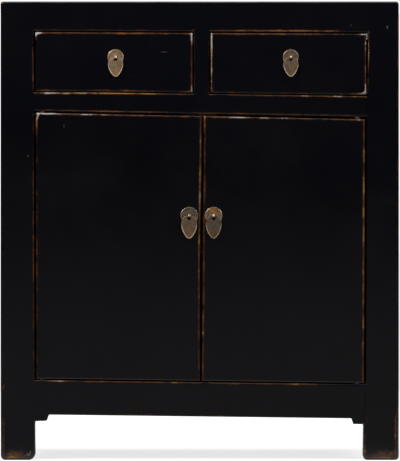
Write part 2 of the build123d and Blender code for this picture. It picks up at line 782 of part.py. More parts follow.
def pull(name, x, z, plate_diameter, drop_length, drop_width, slot_height, front_thickness):
    """Make a pull's plate, its split-pin eye and its drop."""
    with BuildPart() as plate:
        with BuildSketch(front_plane(x, FRONT, z)):
            Circle(plate_diameter / 2)
            Circle(PIN_HOLE_RADIUS, mode=Mode.SUBTRACT)
        extrude(amount=PLATE_THICKNESS)
        with BuildSketch(front_plane(x, FRONT - PLATE_THICKNESS, z)):
            Circle(plate_diameter / 2)
            Circle(plate_diameter / 2 - PLATE_RIM_WIDTH, mode=Mode.SUBTRACT)
        extrude(amount=PLATE_RIM_HEIGHT)
        fillet(plate.edges().sort_by(Axis.Y)[:2], PLATE_RIM_HEIGHT * 0.45)
    finish(f"{name}_pull_plate", plate)

    with BuildPart() as eye:
        with BuildSketch(Plane(origin=(x, EYE_Y, z), x_dir=(1, 0, 0), z_dir=(0, 0, 1))):
            with Locations((0, -EYE_INNER_RADIUS - EYE_BAND_THICKNESS / 2)):
                RectangleRounded(EYE_BAND_WIDTH, EYE_BAND_THICKNESS, EYE_BAND_THICKNESS * 0.4)
        revolve(axis=Axis((x, EYE_Y, z), (1, 0, 0)))
        inner_face = FRONT + front_thickness
        block(
            middle_band(x, x, EYE_BAND_WIDTH),
            (EYE_Y + EYE_INNER_RADIUS + EYE_BAND_THICKNESS / 4, inner_face + EYE_BAND_THICKNESS),
            middle_band(z, z, 2 * EYE_BAND_THICKNESS),
        )
        block(
            middle_band(x, x, EYE_BAND_WIDTH),
            (inner_face, inner_face + EYE_BAND_THICKNESS),
            middle_band(z, z, 2 * PIN_LEG_LENGTH),
        )
    finish(f"{name}_pull_eye", eye)

    with BuildPart() as drop:
        back_face = EYE_Y + DROP_THICKNESS / 2
        front_face = back_face - DROP_THICKNESS
        head_z = z + DROP_RISE - drop_width / 2
        body_plane = front_plane(x, back_face, head_z)
        rim_plane = front_plane(x, front_face, head_z)
        extrude(drop_face(body_plane, drop_width, drop_length), amount=DROP_THICKNESS)
        extrude(drop_face(rim_plane, drop_width, drop_length), amount=DROP_RIM_HEIGHT)
        field = drop_face(rim_plane, drop_width, drop_length, inset=DROP_RIM_WIDTH)
        extrude(field, amount=DROP_RIM_HEIGHT, mode=Mode.SUBTRACT)
        slot_top = z - sqrt((EYE_INNER_RADIUS - SEAT_GAP) ** 2 - (DROP_THICKNESS / 2) ** 2)
        with BuildSketch(front_plane(x, back_face, slot_top - slot_height / 2)) as slot:
            RectangleRounded(DROP_SLOT_WIDTH, slot_height, DROP_SLOT_RADIUS)
        extrude(slot.sketch, amount=DROP_THICKNESS + DROP_RIM_HEIGHT, mode=Mode.SUBTRACT)
    finish(f"{name}_pull_drop", drop)


# Doors


def door_seam(side):
    """A door's edge where the two doors meet."""
    return CENTRE_X + side * DOOR_MEETING_GAP / 2


def door_pull_x(side):
    """Middle of a door's pull."""
    return CENTRE_X + side * DOOR_PULL_FROM_SEAM


def outer_front_edges(inner_x):
    """Front edges of the stile being built, without the one against the panel."""
    front_edges = faces().sort_by(Axis.Y)[0].edges()
    return front_edges.filter_by(lambda edge: abs(edge.center().X - inner_x) > SAME_PLACE)


for side, side_name in SIDE_NAMES.items():
    name = f"door_{side_name}"
    hinge_edge = side * (OPENING - DOOR_HINGE_GAP)
    hinge_inner = hinge_edge - side * HINGE_STILE_WIDTH
    seam_edge = door_seam(side)
    seam_inner = seam_edge + side * MEETING_STILE_WIDTH
    body_y = (FRONT, DOOR_BACK)
    panel_low = DOOR_LOW + DOOR_RAIL_HEIGHT
    panel_high = DOOR_HIGH - DOOR_RAIL_HEIGHT
    tongue_y = (
        FRONT + DOOR_PANEL_THICKNESS - DOOR_PANEL_TONGUE,
        FRONT + DOOR_PANEL_THICKNESS,
    )
    tongue_x = (hinge_inner + side * GROOVE_DEPTH, seam_inner - side * GROOVE_DEPTH)
    tongue_z = (panel_low - GROOVE_DEPTH, panel_high + GROOVE_DEPTH)
    tenon_y = middle_band(FRONT + DOOR_PANEL_THICKNESS, DOOR_BACK, DOOR_TENON_THICKNESS)
    tenon_x = (hinge_inner + side * DOOR_TENON_LENGTH, seam_inner - side * DOOR_TENON_LENGTH)
    batten_z = middle_band(DOOR_LOW, DOOR_HIGH, DOOR_RAIL_HEIGHT)
    rail_spans = ((DOOR_LOW, panel_low), batten_z, (panel_high, DOOR_HIGH))
    tenons = [(tenon_x, tenon_y, shrink(span, TENON_SHOULDER)) for span in rail_spans]

    with BuildPart() as hinge_stile:
        block((hinge_edge, hinge_inner), body_y, (DOOR_LOW, DOOR_HIGH))
        fillet(outer_front_edges(hinge_inner), DOOR_EDGE_RADIUS)
        with Locations((side * PIVOT_X, PIVOT_Y, (DOOR_LOW + DOOR_HIGH) / 2)):
            Cylinder(PIVOT_RADIUS, DOOR_HIGH - DOOR_LOW + 2 * PIVOT_LENGTH)
        cut((tongue_x, tongue_y, tongue_z))
        for tenon in tenons:
            cut(tenon)
    finish(f"{name}_hinge_stile", hinge_stile)

    with BuildPart() as meeting_stile:
        block((seam_edge, seam_inner), body_y, (DOOR_LOW, DOOR_HIGH))
        fillet(outer_front_edges(seam_inner), DOOR_EDGE_RADIUS)
        cut((tongue_x, tongue_y, tongue_z))
        for tenon in tenons:
            cut(tenon)
        pin_hole(door_pull_x(side), DOOR_PULL_HEIGHT, DOOR_THICKNESS)
    finish(f"{name}_meeting_stile", meeting_stile)

    with BuildPart() as rails:
        for (low, high), tenon in zip(rail_spans, tenons):
            is_batten = (low, high) == batten_z
            rail_front = FRONT + DOOR_PANEL_THICKNESS if is_batten else FRONT
            block((hinge_inner, seam_inner), (rail_front, DOOR_BACK), (low, high))
            block(*tenon)
        cut((tongue_x, tongue_y, tongue_z))
        at_front = (FRONT - SAME_PLACE, FRONT + SAME_PLACE)
        long_edges = edges().filter_by(Axis.X).filter_by_position(Axis.Y, *at_front)
        fillet(long_edges.sort_by(Axis.Z)[:: len(long_edges) - 1], DOOR_EDGE_RADIUS)
    finish(f"{name}_rails", rails)

    with BuildPart() as door_panel:
        block((hinge_inner, seam_inner), (FRONT, FRONT + DOOR_PANEL_THICKNESS), (panel_low, panel_high))
        block(shrink(tongue_x, PANEL_PLAY), tongue_y, shrink(tongue_z, PANEL_PLAY))
    finish(f"{name}_panel", door_panel)

    pull(
        name,
        door_pull_x(side),
        DOOR_PULL_HEIGHT,
        DOOR_PLATE_DIAMETER,
        DOOR_DROP_LENGTH,
        DOOR_DROP_WIDTH,
        DOOR_DROP_SLOT_HEIGHT,
        DOOR_THICKNESS,
    )


# Drawers


def tails(x, mode=Mode.ADD):
    """Add or cut the dovetails that join a drawer side to the front."""
    pitch = DRAWER_SIDE_HEIGHT / TAIL_COUNT
    root = DRAWER_FRONT_BACK
    end = root - TAIL_LENGTH
    for number in range(TAIL_COUNT):
        middle = DRAWER_SIDE_LOW + pitch * (number + 0.5)
        with BuildSketch(Plane.YZ.offset(min(x))) as tail:
            with BuildLine():
                Polyline(
                    (root, middle - TAIL_ROOT_WIDTH / 2),
                    (end, middle - TAIL_END_WIDTH / 2),
                    (end, middle + TAIL_END_WIDTH / 2),
                    (root, middle + TAIL_ROOT_WIDTH / 2),
                    close=True,
                )
            make_face()
        extrude(tail.sketch, amount=max(x) - min(x), mode=mode)


for side, side_name in SIDE_NAMES.items():
    name = f"drawer_{side_name}"
    box_x = shrink(drawer_opening(side), DRAWER_GAP)
    side_spans = (
        (box_x[0], box_x[0] + DRAWER_SIDE_THICKNESS),
        (box_x[1] - DRAWER_SIDE_THICKNESS, box_x[1]),
    )
    inner_x = (side_spans[0][1], side_spans[1][0])
    box_back = BACK_RAIL_INNER - DRAWER_BACK_GAP
    back_y = (box_back - DRAWER_BACK_THICKNESS, box_back)
    back_room = (
        shrink(inner_x, -DRAWER_DADO),
        back_y,
        (DRAWER_BOTTOM_HIGH, DRAWER_SIDE_HIGH - DRAWER_BACK_DROP),
    )
    bottom_room = (
        shrink(inner_x, -DRAWER_GROOVE),
        (DRAWER_FRONT_BACK - DRAWER_GROOVE, box_back),
        (DRAWER_BOTTOM_LOW, DRAWER_BOTTOM_HIGH),
    )
    pull_x = sum(drawer_opening(side)) / 2 + DRAWER_PULL_SHIFTS[side]
    pull_z = (DRAWERS_BOTTOM + DRAWERS_TOP) / 2 + DRAWER_PULL_RISE

    with BuildPart() as drawer_front:
        block(
            box_x,
            (FRONT, DRAWER_FRONT_BACK),
            (DRAWERS_BOTTOM + DRAWER_BOTTOM_GAP, DRAWERS_TOP - DRAWER_GAP),
        )
        fillet(faces().sort_by(Axis.Y)[0].edges(), DRAWER_EDGE_RADIUS)
        for span in side_spans:
            tails(span, mode=Mode.SUBTRACT)
        cut(bottom_room)
        pin_hole(pull_x, pull_z, DRAWER_FRONT_THICKNESS)
    finish(f"{name}_front", drawer_front)

    with BuildPart() as drawer_sides:
        for span in side_spans:
            block(span, (DRAWER_FRONT_BACK, box_back), (DRAWER_SIDE_LOW, DRAWER_SIDE_HIGH))
            tails(span)
        cut(back_room)
        cut(bottom_room)
    finish(f"{name}_sides", drawer_sides)

    with BuildPart() as drawer_back:
        block(*back_room)
    finish(f"{name}_back", drawer_back)

    with BuildPart() as drawer_bottom:
        block(*bottom_room)
    finish(f"{name}_bottom", drawer_bottom)

    pull(
        name,
        pull_x,
        pull_z,
        DRAWER_PLATE_DIAMETER,
        DRAWER_DROP_LENGTH,
        DRAWER_DROP_WIDTH,
        DRAWER_DROP_SLOT_HEIGHT,
        DRAWER_FRONT_THICKNESS,
    )
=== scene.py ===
"""Dress the kang cabinet: lacquered boards with rubbed edges, aged brass pulls, bare wood inside."""
import logging
from dataclasses import dataclass, field
from enum import Enum
from math import asin, atan2, cos, hypot, pi, radians, sin, sqrt
from typing import Callable, Optional, Sequence

import bmesh
import bpy
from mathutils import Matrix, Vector, noise


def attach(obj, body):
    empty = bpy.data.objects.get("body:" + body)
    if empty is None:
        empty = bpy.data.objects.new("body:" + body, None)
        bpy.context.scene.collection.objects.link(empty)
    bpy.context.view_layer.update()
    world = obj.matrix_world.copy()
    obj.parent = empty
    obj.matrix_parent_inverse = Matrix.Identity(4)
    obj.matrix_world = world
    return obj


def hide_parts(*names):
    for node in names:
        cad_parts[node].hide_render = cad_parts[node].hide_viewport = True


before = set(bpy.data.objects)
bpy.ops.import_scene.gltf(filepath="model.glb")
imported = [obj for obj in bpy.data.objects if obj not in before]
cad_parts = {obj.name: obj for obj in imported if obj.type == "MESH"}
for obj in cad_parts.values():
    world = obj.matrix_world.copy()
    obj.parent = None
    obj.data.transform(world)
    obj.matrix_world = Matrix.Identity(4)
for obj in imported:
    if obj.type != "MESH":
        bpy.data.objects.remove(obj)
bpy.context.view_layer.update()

log = logging.getLogger("kang_cabinet")

MM = 0.001  # the makers' sizes below are in millimetres

Along = Sequence[tuple[float, float]]  # (place along a board, value there) pairs
Point = tuple[float, float, float]


# Sizes that several pieces share, in mm

FRONT, BACK, SIDE, TOP = -195.3, 204.7, 390.8, 900.0
OPENING = 325.5  # front posts' inner faces
CENTRE_X = 3.5
DIVIDER = (-12.0, 19.0)
TOP_UNDERSIDE = 876.0
DRAWERS = (721.0, 842.0)  # height of the drawers' openings
DOORS = (153.0, 679.0)
TOP_RAILS = 836.0  # underside of the top rails at the sides and back
APRON = (84.0, 113.0)
RAIL_BACK = FRONT + 30.0
POSTS_FRONT = FRONT + 36.0
POSTS_BACK = BACK - 36.0
EYE_Y = -200.5


class Axis(Enum):
    """Direction that a board runs in."""

    X = 0
    Y = 1
    Z = 2


class Tone(float, Enum):
    """What shows where the lacquer is rubbed through."""

    STRAW = 0.33
    GOLD = 0.62
    RUST = 1.0


# Mesh making


def value_along(pairs: Along, place: float) -> float:
    """Value of a profile at a place.

    Args:
        pairs: (place, value) pairs in rising order of place.
        place: where to read the profile.

    Returns:
        The value between the two nearest pairs.
    """
    if place <= pairs[0][0]:
        return pairs[0][1]
    for (low, at_low), (high, at_high) in zip(pairs, pairs[1:]):
        if place <= high:
            share = (place - low) / max(high - low, 1e-6)
            return at_low + (at_high - at_low) * share
    return pairs[-1][1]


def steady(value: float) -> Along:
    """A profile with one value all along."""
    return ((0.0, value),)


@dataclass(frozen=True)
class Settling:
    """How far the old front has racked: its level lines fall to the right, more so round the doors.

    fall is the drop for each mm to the right, sink a drop all along, seam and hinge the shifts to the
    right of a door's meeting edge and of its other edge, each by height.
    """

    fall: Along = (
        (0, 0.0), (60, 0.0130), (84, 0.0122), (113, 0.0145), (153, 0.0130), (420, 0.0155), (680, 0.0180),
        (719, 0.0138), (842, 0.0048), (868, 0.0),
    )
    sink: Along = (
        (60, 0.0), (84, -1.4), (113, 0.0), (679, 0.0), (700, 1.0), (721, 2.6), (760, 1.5), (842, 1.6),
        (872, 0.0),
    )
    seam: Along = ((0.0, 0.0),)
    hinge: Along = ((0.0, 0.0),)
    seam_x: float = 3.5
    sill: float = 721.3  # nothing at the drawers' sill rises over this
    sill_reach: float = 8.0

    def moved(self, point: Point) -> Point:
        """Where a point of the front has gone.

        Args:
            point: the point as it was made.

        Returns:
            The point as it is now.
        """
        x, y, z = point
        down = value_along(self.fall, z) * x + value_along(self.sink, z)
        if abs(z - self.sill) < self.sill_reach:
            down = max(down, -0.3)
        share = min(abs(x - self.seam_x) / OPENING, 1.0)
        shift = value_along(self.seam, z) * (1 - share) + value_along(self.hinge, z) * share
        return (x + shift, y, z - down)


FRAME_SETTLING = Settling()
DOOR_FALL = ((0, 0.0), (153, 0.0130), (420, 0.0155), (679, 0.0205))
DOOR_SETTLINGS = {
    -1: Settling(
        DOOR_FALL, ((153, 0.3), (600, 0.0), (679, 1.3)),
        ((155, -0.5), (255, -0.9), (314, -0.7), (373, -1.0), (432, -0.5), (549, 1.6), (608, 2.3), (679, 2.4)),
        ((153, 0.6), (679, -0.6)),
    ),
    1: Settling(
        DOOR_FALL, ((153, 0.3), (600, 0.0), (679, 1.0)),
        ((155, -1.3), (255, -0.75), (314, 0.2), (373, 0.6), (432, 0.6), (549, 2.2), (679, 2.6)),
        ((153, -1.8), (679, 0.2)),
    ),
}


def round_inset(radius: float, distance: float) -> float:
    """How far a rounded edge falls back at a distance from it.

    Args:
        radius: radius of the edge.
        distance: distance from the end that the edge belongs to.

    Returns:
        The fall of the face, 0 beyond the radius.
    """
    if distance >= radius or radius <= 0:
        return 0.0
    return radius - sqrt(max(radius**2 - (radius - distance) ** 2, 0.0))


@dataclass
class MeshBag:
    """Collects the points and faces of a mesh, with how rubbed and what tone each point is."""

    points: list[Point] = field(default_factory=list)
    faces: list[tuple[int, ...]] = field(default_factory=list)
    marks: dict[str, list[float]] = field(default_factory=dict)
    settling: Optional[Settling] = None

    def add_ring(self, ring: Sequence[Point], **marks: Sequence[float]) -> list[int]:
        """Add a ring of points.

        Args:
            ring: the points, in mm.
            marks: for each mark, its value at each point.

        Returns:
            The points' numbers.
        """
        first = len(self.points)
        self.points.extend(ring)
        for name in set(self.marks) | set(marks):
            values = self.marks.setdefault(name, [0.0] * first)
            values.extend(marks.get(name, [0.0] * len(ring)))
        return list(range(first, first + len(ring)))

    def join(self, one: Sequence[int], other: Sequence[int]) -> None:
        """Fill between two rings of the same count.

        Args:
            one: numbers of the first ring's points.
            other: numbers of the second ring's points.
        """
        for i in range(len(one)):
            j = (i + 1) % len(one)
            self.faces.append((one[i], one[j], other[j], other[i]))

    def skin(self, rings: Sequence[Sequence[int]]) -> None:
        """Fill between each ring and the next."""
        for one, other in zip(rings, rings[1:]):
            self.join(one, other)

    def cap(self, ring: Sequence[int]) -> None:
        """Close a ring with one face."""
        self.faces.append(tuple(ring))

    def piece(self, name: str, body: str, slot: str, finish: bpy.types.Material,
              replaced: Sequence[str] = ()) -> bpy.types.Object:
        """Make the piece from what was collected.

        Args:
            name: the piece's name.
            body: the CAD body that it rides on.
            slot: the record's material slot of its finish; not used.
            finish: its material.
            replaced: the CAD nodes that it stands for.

        Returns:
            The finished object.
        """
        mesh = bpy.data.meshes.new(name)
        points = [self.settling.moved(p) for p in self.points] if self.settling else self.points
        mesh.from_pydata([tuple(c * MM for c in p) for p in points], [], self.faces)
        for mark, values in self.marks.items():
            mesh.attributes.new(mark, "FLOAT", "POINT").data.foreach_set("value", values)
        work = bmesh.new()
        work.from_mesh(mesh)
        bmesh.ops.remove_doubles(work, verts=work.verts, dist=0.002 * MM)
        bmesh.ops.dissolve_degenerate(work, edges=work.edges, dist=0.001 * MM)
        bmesh.ops.recalc_face_normals(work, faces=work.faces)
        for face in work.faces:
            face.smooth = True
        work.to_mesh(mesh)
        work.free()
        mesh.set_sharp_from_angle(angle=radians(42))
        mesh.materials.append(finish)
        piece = bpy.data.objects.new(name, mesh)
        bpy.context.scene.collection.objects.link(piece)
        weighted = piece.modifiers.new("even_faces", "WEIGHTED_NORMAL")
        weighted.keep_sharp = True
        weighted.weight = 100
        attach(piece, body)
        if replaced:
            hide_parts(*replaced)
        log.info("%s: %d points on %s", name, len(mesh.vertices), body)
        return piece


@dataclass(frozen=True)
class Edge:
    """One long edge of a board.

    spans are the stretches where it is open and rounded, the whole length if there are none. lean is
    where round the edge it is most rubbed, from 0 at the front face to 1 at the other, and breadth
    how far round it the rubbing spreads.
    """

    radius: float = 0.0
    wear: Along = ((0.0, 0.0),)
    tone: Along = ((0.0, float(Tone.GOLD)),)
    spans: Sequence[tuple[float, float]] = ()
    lean: Along = ((0.0, 0.3),)
    breadth: float = 0.75
    swell: Along = ((0.0, 1.0),)  # how much larger the radius is by place, as where a corner is knocked


@dataclass(frozen=True)
class End:
    """How the four faces of a board fall back at one of its ends, as radii, and how rubbed the end is."""

    u_low: float = 0.0
    u_high: float = 0.0
    v_low: float = 0.0
    v_high: float = 0.0
    wear: Along = ((0.0, 0.0),)
    tone: Along = ((0.0, float(Tone.GOLD)),)
    lean: float = 0.3
    breadth: float = 0.6
    scuff: float = 0.0  # how far up the face it is scuffed


@dataclass(frozen=True)
class Field:
    """A sunk field in a board's far face, between cross pieces that stand to its full thickness."""

    low: float
    high: float
    depth: float
    stretches: Sequence[tuple[float, float]]


def rubbed(share: float, lean: float, breadth: float) -> float:
    """How rubbed a rounded edge is at a share of the way round it, 0 to 1."""
    return max(0.0, 1.0 - (abs(share - lean) / breadth) ** 1.5)


@dataclass
class Board:
    """A board whose long edges are rounded by hand, each by its own radius.

    It runs along one axis from low to high. Its section lies between u and v, which are Y and Z for a
    board along X, X and Z along Y, and X and Y along Z. Its edges are listed round the section from
    the low corner of both, u first.
    """

    axis: Axis
    low: float
    high: float
    u: tuple[float, float]
    v: tuple[float, float]
    edges: Sequence[Edge] = (Edge(), Edge(), Edge(), Edge())
    start: End = End()
    finish: End = End()
    shape: Optional[Callable[[float], tuple[float, float, float, float]]] = None
    marks: Sequence[float] = ()
    sunk: Optional[Field] = None
    seed: float = 0.0
    step: float = 8.0
    arc_steps: int = 6
    support: float = 2.5
    least_radius: float = 0.05
    wobble: float = 0.25
    front_step: float = 9.0
    patchiness: float = 0.5
    tone_drift: float = 0.35

    def patchy(self, row: int, place: float, wear: float, tone: float) -> tuple[float, float]:
        """Make wear and its tone uneven, as handling leaves them.

        Args:
            row: number of the edge, or another number for an end.
            place: place along it.
            wear: how rubbed it is in general.
            tone: its tone in general.

        Returns:
            The wear and tone there.
        """
        patch = noise.noise(Vector((place / 22.0, self.seed * 2.3, row * 4.1 + 7.0)))
        drift = noise.noise(Vector((place / 45.0, self.seed * 3.1, row * 2.9 + 13.0)))
        tone = min(max(tone + self.tone_drift * drift, 0.0), 1.0)
        return max(wear * (1 + self.patchiness * patch), 0.0), tone

    def stations(self) -> list[float]:
        """Places along the board where its section is drawn.

        Returns:
            The places in rising order.
        """
        special = {self.low, self.high}
        for end, sign, place in ((self.start, 1, self.low), (self.finish, -1, self.high)):
            for radius in {end.u_low, end.u_high, end.v_low, end.v_high} - {0.0}:
                for k in range(1, self.arc_steps + 1):
                    special.add(place + sign * radius * (1 - cos(k * pi / 2 / self.arc_steps)))
                special.add(place + sign * (radius + self.support))
        joints = set(self.marks)
        for edge in self.edges:
            joints.update(s for span in edge.spans for s in span)
        for joint in joints:
            special.update(joint + d for d in (-1.4, 0.0, 1.4) if self.low < joint + d < self.high)
        count = max(int((self.high - self.low) / self.step), 2)
        places = sorted(special)
        for k in range(1, count):
            place = self.low + (self.high - self.low) * k / count
            if min(abs(place - s) for s in special) > self.step * 0.3:
                places.append(place)
        return sorted(places)

    def radius_at(self, corner: int, place: float) -> float:
        """Radius of a long edge at a place, uneven as hand work is.

        Args:
            corner: number of the edge.
            place: place along the board.

        Returns:
            The radius, nearly nothing where the edge butts against another board.
        """
        edge = self.edges[corner]
        if edge.radius <= 0 or (edge.spans and not any(a <= place <= b for a, b in edge.spans)):
            return self.least_radius
        slow = noise.noise(Vector((place / 38.0, self.seed * 3.7, corner * 5.3)))
        quick = noise.noise(Vector((place / 9.0, self.seed * 1.9, corner * 2.1)))
        worn = value_along(edge.wear, place)
        uneven = self.wobble * (0.5 + worn) * (0.6 * slow + 0.55 * quick)
        return max(edge.radius * value_along(edge.swell, place) * (1 + uneven), self.least_radius)

    def bounds_at(self, place: float) -> tuple[float, float, float, float]:
        """Sides of the section at a place, with the fall towards the board's ends.

        Args:
            place: place along the board.

        Returns:
            Low u, high u, low v and high v.
        """
        sides = self.shape(place) if self.shape else (*self.u, *self.v)
        to_start, to_finish = place - self.low, self.high - place
        return tuple(
            side + sign * (round_inset(at_start, to_start) + round_inset(at_finish, to_finish))
            for side, sign, at_start, at_finish in zip(
                sides, (1, -1, 1, -1),
                (self.start.u_low, self.start.u_high, self.start.v_low, self.start.v_high),
                (self.finish.u_low, self.finish.u_high, self.finish.v_low, self.finish.v_high),
            )
        )

    def end_wear(self, side: int, place: float, across: float) -> tuple[float, float]:
        """How rubbed a face is near the board's ends.

        Args:
            side: 0 low u, 1 high u, 2 low v, 3 high v.
            place: place along the board.
            across: place across the board, in the face.

        Returns:
            The wear and its tone.
        """
        best = (0.0, float(Tone.GOLD))
        for end, distance in ((self.start, place - self.low), (self.finish, self.high - place)):
            radius = (end.u_low, end.u_high, end.v_low, end.v_high)[side]
            if radius < 0.8:
                continue
            if distance < radius:
                near = rubbed(asin((radius - distance) / radius) * 2 / pi, end.lean, end.breadth)
            elif distance < radius + end.scuff:
                near = 0.78 * (1 - (distance - radius) / end.scuff) ** 0.7
            else:
                near = rubbed(0.0, end.lean, end.breadth) * max(0.0, 1 - (distance - radius) / self.support)
            worn, tone = self.patchy(side + 4, across, value_along(end.wear, across),
                                     value_along(end.tone, across))
            if near * worn > best[0]:
                best = (near * worn, tone)
        return best

    def ring(self, place: float, depth: float) -> tuple[list[tuple[float, float]], list[float], list[float]]:
        """The section at a place.

        Args:
            place: place along the board.
            depth: depth of the sunk field there.

        Returns:
            The points as (u, v), and their wear and tone.
        """
        u_low, u_high, v_low, v_high = self.bounds_at(place)
        plain = self.shape(place) if self.shape else (*self.u, *self.v)
        falls = (u_low - plain[0], plain[1] - u_high, v_low - plain[2], plain[3] - v_high)
        face = (v_low, v_high) if self.axis is Axis.X else (u_low, u_high)
        fronts = self.front_row(place, u_low, v_low, face)
        corners = (
            (u_low, v_low, 1, 1, pi, 0, 2), (u_high, v_low, -1, 1, 1.5 * pi, 2, 1),
            (u_high, v_high, -1, -1, 0.0, 1, 3), (u_low, v_high, 1, -1, 0.5 * pi, 3, 0),
        )
        points: list[tuple[float, float]] = []
        wears: list[float] = []
        tones: list[float] = []
        for number, (u, v, to_u, to_v, turn, before, after) in enumerate(corners):
            radius = self.radius_at(number, place)
            radius = max(radius - max(falls[before], falls[after]), self.least_radius)
            centre = (u + to_u * radius, v + to_v * radius)
            edge = self.edges[number]
            own, own_tone = self.patchy(number, place, value_along(edge.wear, place),
                                        value_along(edge.tone, place))
            if radius <= 4 * self.least_radius:
                own = 0.0
            reach = radius + self.support
            placed: list[tuple[float, float, float, float]] = []
            lean = value_along(edge.lean, place)
            lean = lean if number == self.starts_at_front() else 1 - lean
            for k in range(self.arc_steps + 1):
                angle = turn + k * pi / 2 / self.arc_steps
                share = k / self.arc_steps
                placed.append((centre[0] + radius * cos(angle), centre[1] + radius * sin(angle),
                               rubbed(share, lean, edge.breadth), share))
            lead = (u, v + to_v * reach) if number in (0, 2) else (u + to_u * reach, v)
            trail = (u + to_u * reach, v) if number in (0, 2) else (u, v + to_v * reach)
            placed = [(*lead, 0.0, 0.0), *placed, (*trail, 0.0, 1.0)]
            for pu, pv, near, share in placed:
                side = before if share < 0.5 else after
                across = pv if side in (0, 1) else pu
                wear, tone = self.end_wear(side, place, across)
                if near * own >= wear:
                    wear, tone = near * own, own_tone
                points.append((pu, pv))
                wears.append(wear)
                tones.append(tone)
            if number == (3 if self.axis is Axis.X else 0):
                for point, wear, tone in fronts:
                    points.append(point)
                    wears.append(wear)
                    tones.append(tone)
            if number == 2 and self.sunk:
                low, high = self.sunk.low, self.sunk.high
                points += [(high, v_high), (high, v_high - depth), (low, v_high - depth), (low, v_high)]
                wears += [0.0] * 4
                tones += [0.5] * 4
        return points, wears, tones

    def front_row(self, place: float, u_low: float, v_low: float,
                  span: tuple[float, float]) -> list[tuple[tuple[float, float], float, float]]:
        """Points across the front face, which carry the wear of the board's ends.

        Args:
            place: place along the board.
            u_low: low u of the section there.
            v_low: low v of the section there.
            span: the face's low and high sides.

        Returns:
            The points in the ring's order, each with its wear and tone.
        """
        side = 0 if self.axis is Axis.X else 2
        falls = [(end.u_low, 0.0, end.v_low)[side] for end in (self.start, self.finish)]
        if self.axis is Axis.Y or max(falls) < 0.8:
            return []
        low, high = self.span_plain()
        count = max(int((high - low) / self.front_step), 2)
        row = []
        for k in range(1, count):
            across = low + (high - low) * k / count
            across = min(max(across, span[0] + 7.0), span[1] - 7.0)
            point = (u_low, across) if self.axis is Axis.X else (across, v_low)
            row.append((point, *self.end_wear(side, place, across)))
        return row[::-1] if self.axis is Axis.X else row

    def span_plain(self) -> tuple[float, float]:
        """Low and high sides of the front face, without its falls."""
        return self.v if self.axis is Axis.X else self.u

    def starts_at_front(self) -> int:
        """Number of the edge whose rounding begins at the front face."""
        return 0 if self.axis is Axis.X else 1

    def place_point(self, place: float, u: float, v: float) -> Point:
        """Turn a place and a section point into X, Y and Z."""
        if self.axis is Axis.X:
            return (place, u, v)
        return (u, place, v) if self.axis is Axis.Y else (u, v, place)

    def build(self, bag: MeshBag) -> MeshBag:
        """Draw the board.

        Args:
            bag: what the mesh is collected in.

        Returns:
            The same bag.
        """
        runs = [(place, self.sunk_at(place)) for place in self.stations()]
        if self.sunk:
            for low, high in self.sunk.stretches:
                runs += [(low, 0.0), (low, self.sunk.depth), (high, self.sunk.depth), (high, 0.0)]
            middle = sum(self.sunk.stretches[0]) / 2
            runs.sort(key=lambda run: (run[0], self.rising(run, middle)))
        rings = []
        for place, depth in runs:
            points, wears, tones = self.ring(place, depth)
            rings.append(bag.add_ring([self.place_point(place, *p) for p in points], wear=wears, tone=tones))
        bag.cap(rings[0])
        bag.skin(rings)
        bag.cap(rings[-1])
        return bag

    def sunk_at(self, place: float) -> float:
        """Depth of the sunk field at a place."""
        inside = self.sunk and any(low < place < high for low, high in self.sunk.stretches)
        return self.sunk.depth if inside else 0.0

    def rising(self, run: tuple[float, float], middle: float) -> float:
        """Order of two sections at one place: into a field at its low end, out of it at its high end."""
        opens = any(abs(run[0] - low) < 1e-6 for low, _ in self.sunk.stretches)
        return run[1] if opens else -run[1]


# Node groups and finishes


